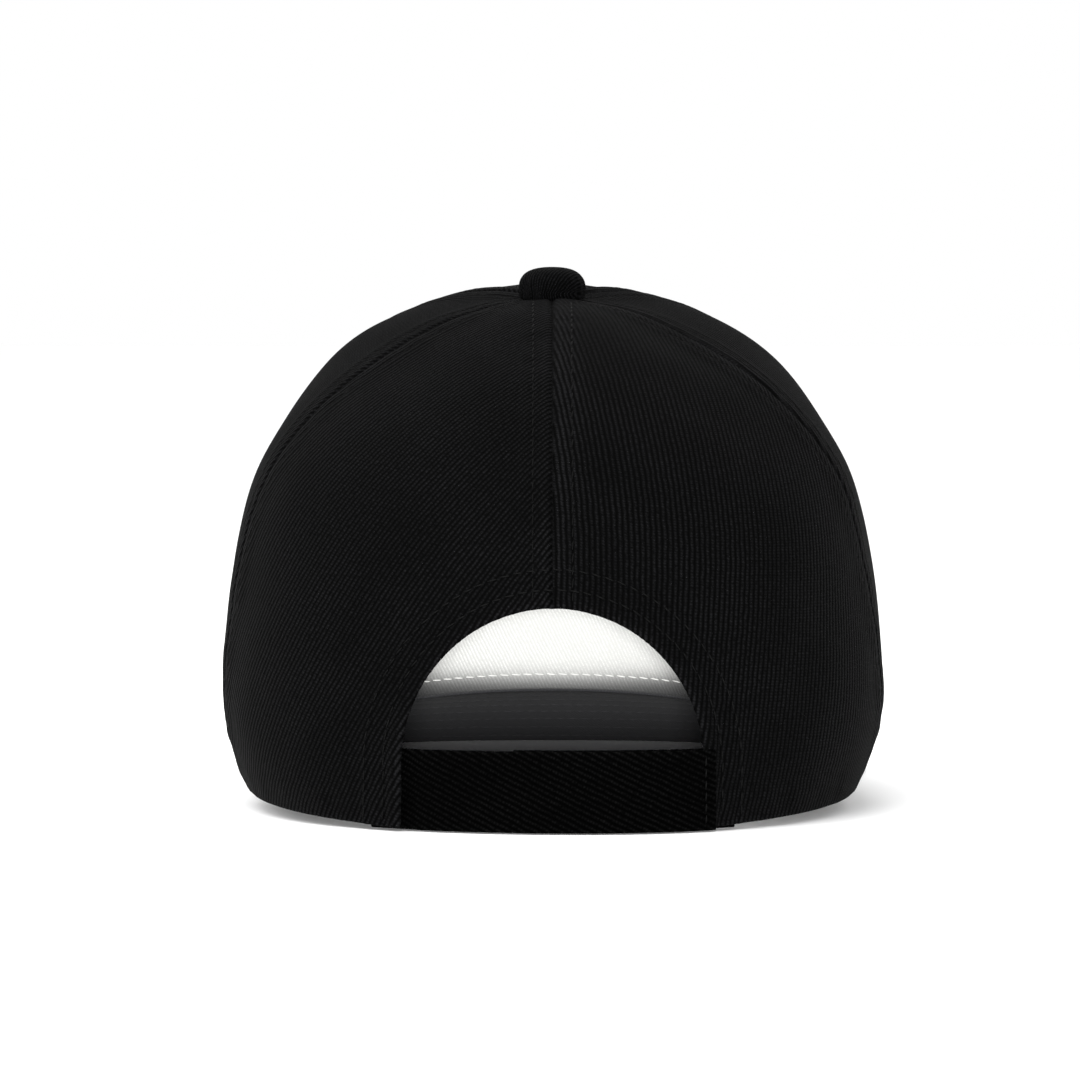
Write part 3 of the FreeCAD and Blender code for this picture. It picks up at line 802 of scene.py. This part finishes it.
levels = np.linspace(LINING_TOP, LAST, 300)
tape_end = levels[crown(0.0, levels)[:, 2] > ARCH_HEIGHT + 14.0].max()
tape_paths = seam_tape("seam_tape_back", steady(0.0), 1, LINING_TOP, tape_end)
tape_paths += seam_tape("seam_tape_front", steady(180.0), 1, LINING_TOP, LINING_BASE)
for side, sign in (("left", 1), ("right", -1)):
    tape_paths += seam_tape("seam_tape_side_back_" + side, side_seam, sign, LINING_TOP, LINING_BASE)
    tape_paths += seam_tape("seam_tape_side_front_" + side, steady(SEAM_FRONT), sign, LINING_TOP, LINING_BASE)
stitched("tape_stitching", tape_paths, white_thread)

# %% Sweatband
BAND_DEPTH, BAND_THICKNESS, BAND_HEIGHT = 2.5, 1.1, 32.0
BAND_START, BAND_DROP, BAND_RADIUS = 1.5, 3.3, 95.0
BAND_ROWS = (4.0, BAND_HEIGHT - 2.2)
azimuth = np.linspace(20, 60, 400)
band_end = float(np.interp(ARCH_HALF + 15.0, crown(azimuth, LAST - 0.6)[:, 0], azimuth))
band_turn = np.linspace(band_end, 360 - band_end, 420)


def band_start(azimuth):
    """The band's lower edge above the crown's: at the front it hangs just below, behind the brim."""
    share = np.clip((60 - np.abs(np.asarray(azimuth, float) - 180)) / 30, 0, 1)
    return BAND_START - BAND_DROP * ease(share)


def band_depth(azimuth, rise):
    """How far the sweatband's outer face lies inside the crown: it leans in and waves at its top."""
    lean = rise / BAND_HEIGHT
    wave = noise_at(np.asarray(azimuth, float)[..., None], 9.0, 11) * 0.7 * lean ** 2
    seam = 0.22 * (furrow(rise, BAND_ROWS[0], 0.7) + furrow(rise, BAND_ROWS[1], 0.7))
    return BAND_DEPTH + 0.35 * lean + wave - seam


rises = crowded(30, 0.0, BAND_HEIGHT, 0.6)
azimuth = band_turn[None, :] + 0 * rises[:, None]
station = np.stack([station_above_base(band_turn, band_start(band_turn) + rise) for rise in rises])
from_front = np.radians(azimuth - 180.0) * BAND_RADIUS
# Painted shade: the band's lowest few millimetres are darkened, and the dark edge rises away from the front.
painted_shade_mask = falls(rises[:, None], 3.4 + 2.0 * np.clip(from_front / 33.0, -2, 2) ** 2, 1.5)
band = lining("sweatband_cloth", azimuth, station, band_depth(azimuth, rises[:, None] + 0 * azimuth),
              BAND_THICKNESS, band_twill, steady(180.0), painted_shade_mask)
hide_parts("sweatband")
fold = band.modifiers.new("folded edge", "BEVEL")
fold.width = 0.4 * MM
fold.segments = 2
rows = []
for rise in BAND_ROWS:
    station = station_above_base(band_turn, rise + band_start(band_turn))
    normal = -crown_normal(band_turn, station)
    inner = band_depth(band_turn, rise + 0 * band_turn) + BAND_THICKNESS
    rows.append((crown(band_turn, station) + normal * inner[:, None], normal))
stitched("sweatband_stitching", rows, white_thread)

# %% Blank care label and the facing of the arch
LABEL_AZIMUTH, LABEL_WIDTH, LABEL_HEIGHT, LABEL_RISE = 100.0, 26.0, 14.0, 6.0
corner = crown(LABEL_AZIMUTH, LAST)
turn = math.degrees(LABEL_WIDTH / 2 / math.hypot(corner[0], corner[1]))
across = np.linspace(LABEL_AZIMUTH - turn, LABEL_AZIMUTH + turn, 40)
rises = np.linspace(LABEL_RISE, LABEL_RISE + LABEL_HEIGHT, 24)
azimuth = across[None, :] + 0 * rises[:, None]
station = np.stack([station_above_base(across, BAND_START + rise) for rise in rises])
depth = band_depth(azimuth, rises[:, None] + 0 * azimuth) + BAND_THICKNESS + 0.12
curl = 0.5 * np.clip((rises[:, None] - LABEL_RISE) / LABEL_HEIGHT, 0, 1) ** 2
label = lining("care_label_cloth", azimuth, station, depth + curl, 0.25, label_satin,
               steady(LABEL_AZIMUTH))
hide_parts("care_label")

FACING_WIDTH, FACING_BASE = 12.0, 3.0
lines = [arch_outline(reach, 110, FACING_BASE) for reach in np.linspace(0.9, FACING_WIDTH, 16)]
places = [on_back(line[:, 0], line[:, 1]) for line in lines]
azimuth = np.stack([place[0] for place in places])
station = np.stack([place[1] for place in places])
facing = lining("arch_facing_cloth", azimuth, station, BUCKRAM_DEPTH, 0.6, black_twill, steady(0.0))
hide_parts("arch_facing")
print("the sweatband ends", round(band_end, 1), "degrees from the back")

# %% [markdown]
# ## Strap and tab
# The outer strap is a folded length of twill, cut so that its ribs fall the other way. One end is sewn
# behind the hem of the left back panel and the free end lies on the right panel. A tab comes from
# behind the right hem to meet it. Strap and sewn end are one piece of cloth.

# %% Cloth bands along the back
STRAP_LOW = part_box("strap")[0][2] / MM
STRAP_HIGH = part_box("strap")[1][2] / MM
STRAP_END = -(ARCH_HALF + 2.2)
STRAP_HINGE = ARCH_HALF - 0.2
ROOT_LENGTH = 9.0         # of the sewn end, behind the hem
CROSSING = 3.1            # how far the closure crosses outwards on its way over the arch
STRAP_THICKNESS, TAB_THICKNESS, PATCH_THICKNESS = 1.5, 1.2, 0.8


def strap_depth(x):
    """How far the strap's outer face lies inside the crown's: inside at its root, outside at its end."""
    share = np.clip((STRAP_HINGE - x) / (STRAP_HINGE - STRAP_END), 0, 1)
    behind_hem = np.clip((x - STRAP_HINGE + 6.0) / 6.0, 0, 1)
    return 1.0 - CROSSING * ease(share) + 0.85 * ease(behind_hem)


def tab_depth(x):
    """The tab crosses over as much, and stays behind the strap."""
    share = np.clip((STRAP_HINGE - x) / (STRAP_HINGE - STRAP_END), 0, 1)
    return 4.9 - CROSSING * ease(share)


def on_band(x, z, depth):
    """Points this deep inside the crown's back face, and the level normals there."""
    base = crown(*on_back(x, z))
    step = crown(*on_back(x + 0.5, z)) - crown(*on_back(x - 0.5, z))
    normal = np.stack([-step[..., 1], step[..., 0], 0 * x], -1)
    normal /= np.linalg.norm(normal, axis=-1, keepdims=True)
    return base - normal * depth[..., None], normal


def back_band(name, x_start, x_end, depth_of, thickness, material, columns=190, margin=0.0,
              relief=None, rows=41, bevel=0.4, body=None):
    """A strip of cloth along the back of the crown, from x_start to x_end."""
    low, high = STRAP_LOW + margin, STRAP_HIGH - margin
    x, z = np.meshgrid(crowded(columns, x_start, x_end, 0.4), crowded(rows, low, high, 0.6))
    points, _ = on_band(x, z, depth_of(x) - (0 if relief is None else relief(x, z)))
    uv = np.stack([-(x - x_end), z - low], -1)
    edge = np.minimum(np.minimum(z - low, high - z), np.minimum(np.abs(x - x_end), 9.0))
    mesh = sheet_mesh(name, points, uv, np.array([0, 1.0, 0]), 1.1 * np.exp(-edge / 0.7))
    piece = new_object(name, mesh, material, body)
    thicken(piece, thickness)
    soft = piece.modifiers.new("rounded fold", "BEVEL")
    soft.width = bevel * MM
    soft.segments = 3
    print(name, round(abs(x_end - x_start), 1), "by", round(high - low, 1), "mm")
    return piece


# %% Strap
END_ROW = 2.6             # the row of stitches across the strap's free end


def strap_relief(x, z):
    """Folded cloth: its long edges round off, a stitch row dents its end, and it ripples a little."""
    edge = np.minimum(z - STRAP_LOW, STRAP_HIGH - z)
    end = x - STRAP_END
    slack = 0.28 * noise_at(np.stack([x, z], -1), 13.0, 21) + 0.08 * noise_at(np.stack([x, z], -1), 3.5, 22)
    dents = 0.5 * np.exp(-edge / 0.8) + 0.28 * furrow(end, END_ROW, 0.6) + 0.35 * np.exp(-end / 0.5)
    return slack * np.clip(edge / 3, 0.2, 1) * np.clip(end / 8, 0.2, 1) - dents


def bend(piece, depth):
    """Bakes the piece's transform into its mesh."""
    y = float(crown(*on_back(STRAP_HINGE, 10.0))[1]) - depth
    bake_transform(piece)


strap = back_band("strap_cloth", STRAP_HINGE + ROOT_LENGTH, STRAP_END, strap_depth, STRAP_THICKNESS,
                  strap_twill, relief=strap_relief)
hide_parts("strap", "strap_root")
bend(strap, 1.0)

rise = np.linspace(STRAP_LOW + 1.5, STRAP_HIGH - 1.5, 60)
end = np.full_like(rise, STRAP_END + END_ROW)
stitched("strap_end_stitching", [on_band(end, rise, strap_depth(end) + 0.22)], black_thread, body="strap",
         pitch=2.8)

# %% Tab
TAB_START, TAB_END = -(STRAP_HINGE + ROOT_LENGTH), -STRAP_HINGE + 0.3 + 46.0


def tab_relief(x, z):
    """Its folded edges round off."""
    edge = np.minimum(z - STRAP_LOW, STRAP_HIGH - z)
    return -0.35 * np.exp(-edge / 0.8) - 0.2 * np.exp(-(TAB_END - x) / 0.5)


tab = back_band("tab_cloth", TAB_START, TAB_END, tab_depth, TAB_THICKNESS, strap_twill, columns=110,
                relief=tab_relief)
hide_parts("tab", "tab_root")
bend(tab, 2.4)

# %% [markdown]
# ## Hooks and loops
# The closure is two woven nylon tapes. One carries rows of stiff little hooks, cut from loops of
# monofilament, and the other a brushed pile of soft loops. Real hooks stand about 1.2 mm apart. Here
# they are 1.6 mm apart, which still reads as hook tape and keeps the piece light.

# %% Nylon tapes
PATCH_MARGIN, TAPE_BASE = 1.6, 0.35


def nylon_tape(name, colour, sheen):
    """Woven nylon tape: a fine ribbed ground with a slight gloss."""
    material, tree, shader = new_material(name)
    uv = add(tree, "UVMap", uv_map="cloth").outputs["UV"]
    ribs = add(tree, "TexWave", {"Vector": uv, "Scale": 1 / (0.9 * MM) / 6.28, "Distortion": 1.5,
                                 "Detail": 2.0}, bands_direction="X")
    fuzz = add(tree, "TexNoise", {"Vector": uv, "Scale": 1 / (0.5 * MM), "Detail": 4.0})
    height = add(tree, "Math", {0: ribs.outputs["Fac"], 1: 0.5, 2: fuzz}, operation="MULTIPLY_ADD")
    shade = add(tree, "MapRange", {"Value": height, "From Min": 0.3, "From Max": 1.2})
    tone = add(tree, "Mix", {"Factor": shade, "A": linear("#030303"), "B": linear(colour)}, data_type="RGBA")
    bump = add(tree, "Bump", {"Height": height, "Strength": 0.8, "Distance": 0.2 * MM})
    feed(tree, shader, {"Base Color": tone.outputs["Result"], "Normal": bump, "Roughness": 0.5,
                        "Specular IOR Level": 0.08, "Sheen Weight": sheen})
    return material


hook_nylon = nylon_tape("black nylon hook tape", "#0f0f10", 0.01)
loop_nylon = nylon_tape("black nylon loop tape, brushed", "#0e0e0f", 0.03)
HOOK_LOW, HOOK_HIGH = (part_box("hook_patch")[i][0] / MM for i in (0, 1))
LOOP_LOW, LOOP_HIGH = (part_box("loop_patch")[i][0] / MM for i in (0, 1))
print("hook tape", round(HOOK_HIGH - HOOK_LOW, 1), "mm, loop tape", round(LOOP_HIGH - LOOP_LOW, 1), "mm long")

# %% Hook tape on the strap
HOOK_PITCH = 1.6
HOOK_PARTS = ((0.10, 0.0, 0.16, 0.24), (0.26, 0.55, 0.14, 0.26))   # reach, lean, radius, length


def hook_depth(x):
    """The face of the hook tape's ground, on the strap's inner side."""
    return strap_depth(x) + STRAP_THICKNESS + 0.05


def hook_row(bm, places, normals):
    """A row of hooks, each a short stem and a bent tip."""
    for place, normal in zip(places, normals):
        axis = Vector(-normal).normalized()
        side = Vector((0, 0, 1)).cross(axis).normalized()
        for reach, lean, radius, length in HOOK_PARTS:
            along = (axis * math.cos(lean) + side * math.sin(lean)).normalized()
            middle = Vector(place) + axis * reach + side * 0.1 * math.sin(lean)
            turn = along.to_track_quat("Z", "Y").to_matrix().to_4x4()
            matrix = Matrix.Scale(MM, 4) @ Matrix.Translation(middle) @ turn
            bmesh.ops.create_cone(bm, cap_ends=True, segments=5, radius1=radius, radius2=radius * 0.75,
                                  depth=length, matrix=matrix)


hook_ground = back_band("hook_tape_cloth", HOOK_HIGH, HOOK_LOW, hook_depth, TAPE_BASE, hook_nylon,
                        columns=60, margin=PATCH_MARGIN, rows=24, bevel=0.1, body="strap")
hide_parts("hook_patch")
x, z = np.meshgrid(np.arange(HOOK_LOW + 1.2, HOOK_HIGH - 1.0, HOOK_PITCH),
                   np.arange(STRAP_LOW + PATCH_MARGIN + 1.2, STRAP_HIGH - PATCH_MARGIN - 1.0, HOOK_PITCH))
mesh = rows_of("hook_tape_hooks", hook_row, list(zip(*on_band(x, z, hook_depth(x) + TAPE_BASE))))
mesh.uv_layers.new(name="cloth")
new_object("hook_tape_hooks", mesh, hook_nylon, "strap")


# %% Loop tape on the tab
def loop_depth(x):
    """The face of the loop tape, on the tab's outer side."""
    return tab_depth(x) - PATCH_THICKNESS - 0.05


def patch_pile(x, z):
    """The loop pile stands up in small tufts."""
    place = np.stack([x, z], -1)
    return 0.16 * noise_at(place, 1.1, 31) + 0.10 * noise_at(place, 0.6, 32) - 0.05


loop_ground = back_band("loop_tape_cloth", LOOP_HIGH, LOOP_LOW, loop_depth, PATCH_THICKNESS - 0.1, loop_nylon,
                        columns=130, margin=PATCH_MARGIN, relief=patch_pile, rows=60, bevel=0.1,
                        body="tab")
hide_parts("loop_patch")

# %% [markdown]
# ## Brim
# A brim is a stiff board between two covers of twill. The top cover rolls over the board's edge and is
# sewn to the lower cover, and eight rows of stitches follow the outline through all three layers. Each
# row pulls a shallow channel, so the cloth between rows stands up in low ribs.

# %% Shape of the brim
BRIM_AZIMUTH, BRIM_LENGTH, BRIM_HALF, BRIM_TIP, BRIM_GAP = 112.0, 70.0, 85.0, 4.0, 0.6
BRIM_THICKNESS, BRIM_COVER, BRIM_LIFT, BRIM_BULGE, BRIM_RIM = 3.5, 0.7, 1.0, 4.0, 3.52
BRIM_ROWS = [3.2 + 6.6 * i for i in range(8)]
BRIM_TIP_THICKNESS = 1.5  # where the board ends and only the two covers are left


def brim_thickness(share):
    """The brim thins out over its last few millimetres at each tip."""
    end = np.clip((np.abs(share) - 0.94) / 0.055, 0, 1)
    return BRIM_THICKNESS + (BRIM_TIP_THICKNESS - BRIM_THICKNESS) * ease(end)


def brim_frame(share):
    """Inner and outer ends of the brim's ribs, and the way out, for shares from -1 to 1 of its width."""
    azimuth = 180.0 - share * (180.0 - BRIM_AZIMUTH)
    inner = crown(azimuth, LAST)
    out = inner * (1, 1, 0)
    start = inner + out / np.linalg.norm(out, axis=-1, keepdims=True) * (BRIM_GAP - 0.35)
    root = crown(BRIM_AZIMUTH, LAST)
    root = root + root * (1, 1, 0) / np.hypot(root[0], root[1]) * (BRIM_GAP + BRIM_TIP)
    front = crown(180.0, LAST)[1] - BRIM_LENGTH
    a = share * math.pi / 2
    reach = np.abs(np.cos(a)) ** 0.62
    width = root[0] + (BRIM_HALF - root[0]) * np.minimum(1.0, 4 * reach * (1 - 0.55 * reach))
    x = width * np.sign(a) * np.abs(np.sin(a)) ** 0.8
    edge = np.stack([x, root[1] + (front - root[1]) * reach, 0 * x], -1)
    away = edge - np.array([0, crown(180.0, LAST)[1] / 2, 0])
    return start, edge, away / np.linalg.norm(away, axis=-1, keepdims=True)


def brim_points(share, v, inset, drop):
    """Points drop below the brim's upper face; v is 0 at the crown and 1 inset from its edge."""
    start, edge, away = brim_frame(share)
    target = edge - away * (np.asarray(inset) + 0 * share)[..., None]
    points = start + (target - start) * v[..., None]
    height = start[..., 2] + BRIM_LIFT + (BRIM_RIM - start[..., 2] - BRIM_LIFT) * v
    height = height + BRIM_BULGE * np.sin(math.pi * v) * (1 - np.abs(share) ** 3)
    from_edge = (1 - v) * np.linalg.norm((target - start)[..., :2], axis=-1)
    points[..., 2] = height - drop
    return points, from_edge, away


def brim_relief(share, from_edge):
    """Each row of stitches pulls a shallow channel."""
    channels = sum(furrow(from_edge, row, 0.8) for row in BRIM_ROWS)
    return 0.12 - 0.30 * channels + 0.05 * noise_at(np.stack([share * 90, from_edge], -1), 9.0, 41)


print("brim", 2 * BRIM_HALF, "by", BRIM_LENGTH, "mm,", len(BRIM_ROWS), "rows of stitches")


# %% Finishes of the board and of the cloth under the brim
def brim_plastic():
    """Pressed polyethylene: matt, nearly black, with fine specks."""
    material, tree, shader = new_material("polyethylene board, pressed")
    place = add(tree, "TexCoord").outputs["Object"]
    specks = add(tree, "TexNoise", {"Vector": place, "Scale": 1 / (1.2 * MM), "Detail": 5.0})
    tone = add(tree, "Mix", {"Factor": specks, "A": linear("#141414"), "B": linear("#242424")},
               data_type="RGBA")
    bump = add(tree, "Bump", {"Height": specks, "Strength": 0.3, "Distance": 0.1 * MM})
    feed(tree, shader, {"Base Color": tone.outputs["Result"], "Normal": bump, "Roughness": 0.5, "IOR": 1.51})
    return material


board_plastic = brim_plastic()
under_twill = twill("grey brushed twill", "#343436", "#424244", pitch=0.8, bead=0.5, depth=0.04,
                    sheen=0.03, gloss=0.02)
grey_thread = thread_material("grey polyester thread", "#353537")
UP = np.array([0, 0, 1.0])


def brim_piece(name, points, uv, outward, wear_and_painted_light, material, thickness, node):
    """A sheet of the brim that stands for one node of the frame."""
    piece = new_object(name, sheet_mesh(name, points, uv, outward, wear_and_painted_light), material, "crown")
    thicken(piece, thickness)
    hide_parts(node)
    print(name, points.shape[1], "by", points.shape[0], "points")


# %% Brim's top cover, rolled over the edge
share, v = np.meshgrid(crowded(230, -1.0, 1.0, 0.5), crowded(90, 0.0, 1.0, 0.35))
thickness = brim_thickness(share)
top, from_edge, away = brim_points(share, v, thickness / 2, 0.0)
top[..., 2] += brim_relief(share, from_edge) * np.clip(from_edge / 2, 0, 1)
roll = np.radians(np.linspace(80, -80, 17))[:, None, None]
radius = thickness[-1][:, None] / 2
rolled = top[-1] - UP * radius + away[-1] * np.cos(roll) * radius + UP * np.sin(roll) * radius
points = np.concatenate([top, rolled])
steps = np.linalg.norm(np.diff(points, axis=0), axis=-1)
length = np.concatenate([np.zeros((1, steps.shape[1])), np.cumsum(steps, 0)])
past_edge = np.clip(length - length[len(top) - 1], 0, None)
uv = points[..., :2] + away[-1][None, :, :2] * past_edge[..., None] * 0.5
edge_fade = 1.2 * np.exp(-((past_edge - 1.2) / 0.8) ** 2)
brim_piece("brim_top_cloth", points, uv, UP, edge_fade, black_twill, BRIM_COVER, "brim_top_cover")

# %% Brim's lower cover and board
share = share * 0.97      # the lower cover stops just short of the tips, where the top one folds over
thickness = brim_thickness(share)
under, under_edge, away = brim_points(share, v, thickness / 2, thickness)
under[..., 2] -= brim_relief(share, under_edge) * np.clip(under_edge / 2, 0, 1) * 0.4
rises = np.linspace(0.75, 0.1, 6)[:, None] * thickness[:1]           # its inner edge turns up to the board
under = np.concatenate([under[0] + UP * rises[..., None], under])
turned_up = np.clip(under[..., 2:] - under[len(rises), :, 2:], 0, None)
turned_up[len(rises):] = 0
uv = under[..., :2] + away[0][:, :2] * turned_up
brim_piece("brim_under_cloth", under, uv, -UP, None, under_twill, BRIM_COVER, "brim_under_cover")

share, v = np.meshgrid(crowded(160, -0.96, 0.96, 0.3), crowded(40, 0.02, 0.985, 0.3))
board, _, _ = brim_points(share, v, brim_thickness(share) / 2, 0.95)
brim_piece("brim_board_sheet", board, board[..., :2], UP, None, board_plastic, 1.5, "brim_board")

# %% Brim stitches
def brim_rows(drop, way):
    """Stitch rows on one face of the brim, each cut short where the brim is too narrow for it."""
    rows = []
    for row in BRIM_ROWS:
        share = np.linspace(-0.995, 0.995, 700)
        start, edge, away = brim_frame(share)
        inset = brim_thickness(share) / 2
        reach = np.linalg.norm((edge - away * inset[:, None] - start)[:, :2], axis=-1)
        keep = reach > row + 5.0
        share, reach = share[keep], reach[keep]
        line, _, _ = brim_points(share, 1 - row / reach, inset[keep], drop * brim_thickness(share))
        line[:, 2] -= way * 0.16                        # down into its channel
        rows.append((line, np.tile((0, 0, way), (len(line), 1))))
    return rows


stitched("brim_stitching", brim_rows(0.0, 1.0), black_thread, pitch=3.4)
stitched("brim_under_stitching", brim_rows(1.0, -1.0), grey_thread, pitch=3.4)

# %% [markdown]
# ## Button
# The button on top is a metal shell pressed into a disc of twill. Its cloth is drawn over the dome
# and gathered under the rim, so it is smooth at the top and folds a little near the edge. The dome is a
# profile spun round its axis. It is set on the crown's top, which slopes to the back.

# %% Button cover
BUTTON_RADIUS, BUTTON_HEIGHT, BUTTON_RIM = 8.4, 6.5, 1.0
BUTTON_SHOULDER = 0.74    # below 1 the dome flattens on top and its shoulder fills out


def button_seat():
    """The turn and the lift that set a button built about the origin on top of the crown."""
    levels = np.linspace(0.05, 2, 400)
    station = float(np.interp(BUTTON_RADIUS, crown(90.0, levels)[:, 0], levels))
    front, back = crown(180.0, station), crown(0.0, station)
    slope = (front[2] - back[2]) / (front[1] - back[1])
    ring = crown(np.linspace(0, 180, 13), station)
    rise = (ring[:, 2] - (back[2] + slope * (ring[:, 1] - back[1]))).max()
    lift = back[2] - slope * back[1] + rise + 0.2
    return Matrix.Translation((0, 0, lift)) @ Matrix.Rotation(math.atan(slope), 4, "X")


turn = np.linspace(0, math.pi / 2, 30)
radius = BUTTON_RADIUS * np.sin(turn) ** BUTTON_SHOULDER
height = BUTTON_RIM + (BUTTON_HEIGHT - BUTTON_RIM) * np.clip(np.cos(turn), 0, 1) ** BUTTON_SHOULDER
SKIRT = ((8.4, 0.4), (8.3, -0.5), (7.9, -1.3), (7.0, -1.8), (5.5, -2.0))      # gathered under the rim
profile = list(zip(radius, height)) + list(SKIRT)
bm = bmesh.new()
line = [bm.verts.new((r, 0, h)) for r, h in profile]
edges = [bm.edges.new(pair) for pair in zip(line, line[1:])]
bmesh.ops.spin(bm, geom=line + edges, cent=(0, 0, 0), axis=(0, 0, 1), angle=2 * math.pi, steps=96,
               use_merge=True)
bmesh.ops.remove_doubles(bm, verts=bm.verts, dist=0.001)
bmesh.ops.recalc_face_normals(bm, faces=bm.faces)
layer = bm.loops.layers.uv.new("cloth")
tone_shift = bm.verts.layers.float.new("wear_and_painted_light")
lengths = arc_lengths(np.array(profile))
for vert in bm.verts:
    x, y, z = vert.co
    distance = math.hypot(x, y)
    turn = math.atan2(y, x)
    if distance > 1:
        gather = 0.16 * math.sin(17 * turn + 1.3 * math.sin(3 * turn)) + 0.10 * math.sin(29 * turn + 2)
        vert.co.xy *= 1 + gather * (distance / BUTTON_RADIUS) ** 7 / distance
    vert[tone_shift] = 0.9 * math.exp(-((distance - 7.6) / 1.2) ** 2)
    run = np.interp(distance, radius, lengths[:len(radius)]) + (max(0, 1.5 - z) if distance > 6 else 0)
    for loop in vert.link_loops:
        loop[layer].uv = (run * math.cos(turn) * MM, run * math.sin(turn) * MM)
bm.transform(Matrix.Scale(MM, 4) @ button_seat())
mesh = bpy.data.meshes.new("button_cloth")
bm.to_mesh(mesh)
bm.free()
button = new_object("button_cloth", mesh, button_twill, "crown")
thicken(button, 0.5)
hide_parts("button_cover")
print("button", [round(c / MM, 1) for c in button.dimensions], "mm")

# %% [markdown]
# ## Hard pieces
# The button's shell, its washer and its rivet post keep their CAD shape and only need a finish: pressed
# steel with a thin lacquer, which gives it a soft, slightly uneven gloss. The pattern reads the piece's
# own coordinates, which are its place in metres.

# %% Finishes of the hard pieces
def lacquered_steel():
    material, tree, shader = new_material("lacquered steel, pressed")
    place = add(tree, "TexCoord").outputs["Object"]
    grain = add(tree, "TexNoise", {"Vector": place, "Scale": 1 / (1.5 * MM), "Detail": 4.0})
    rough = add(tree, "MapRange", {"Value": grain, "To Min": 0.28, "To Max": 0.5})
    tone = add(tree, "Mix", {"Factor": grain, "A": linear("#8d8d8f"), "B": linear("#b5b5b4")},
               data_type="RGBA")
    feed(tree, shader, {"Base Color": tone.outputs["Result"], "Roughness": rough, "Metallic": 1.0})
    return material


steel = lacquered_steel()
for name in ("button_shell", "button_washer", "button_post"):
    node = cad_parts[name]
    node.data.materials.clear()
    node.data.materials.append(steel)
    print(name, "in", steel.name)

# %% [markdown]
# ## Light, floor and camera
# The cap stands on a plain white table in a white room, under a large soft light and with another at
# its side. A small one at the viewer's eye fills the arch, and throws its shadows out of sight. The
# long lens stands well back, a little above the table.

# %% Floor
bm = bmesh.new()
bmesh.ops.create_grid(bm, x_segments=1, y_segments=1, size=6.0)
mesh = bpy.data.meshes.new("floor")
bm.to_mesh(mesh)
bm.free()
table, tree, shader = new_material("white table")
feed(tree, shader, {"Base Color": linear("#ffffff"), "Roughness": 0.9, "Specular IOR Level": 0.1})
new_object("floor", mesh, table)
print("floor at z = 0")


# %% Lights
def soft_light(name, place, size, watts):
    """A round soft light that faces the middle of the cap."""
    data = bpy.data.lights.new(name, "AREA")
    data.shape = "DISK"
    data.size = size
    data.energy = watts
    lamp = bpy.data.objects.new(name, data)
    lamp.location = place
    lamp.rotation_euler = (MIDDLE - Vector(place)).to_track_quat("-Z", "Y").to_euler()
    lamp.visible_camera = False
    bpy.context.scene.collection.objects.link(lamp)


MIDDLE = Vector((0.0, 0.0, 0.065))
world = bpy.data.worlds.new("white room")
world.use_nodes = True
feed(world.node_tree, world.node_tree.nodes["Background"], {"Color": (1, 1, 1, 1), "Strength": 1.0})
bpy.context.scene.world = world
soft_light("top softbox", (0.3, 0.3, 1.6), 1.6, 22)
soft_light("side softbox", (1.4, 0.5, 1.0), 1.2, 12)
soft_light("viewer fill", (0.0, 1.9, 0.14), 0.12, 50)
bpy.context.scene.view_settings.view_transform = "Standard"
print("lights", len(bpy.data.lights))

# %% Camera
camera_data = bpy.data.cameras.new("camera")
camera_data.lens = 195.5
camera_data.sensor_width = 36.0
camera = bpy.data.objects.new("camera", camera_data)
bpy.context.scene.collection.objects.link(camera)
DISTANCE, TILT = 1.5, math.radians(3.0)
aim = Vector((0.00307, 0.0, 0.0657))
camera.location = aim + Vector((0, DISTANCE * math.cos(TILT), DISTANCE * math.sin(TILT)))
camera.rotation_euler = (math.pi / 2 - TILT, 0, math.pi)
bpy.context.scene.camera = camera
print("camera at", [round(v, 3) for v in camera.location])
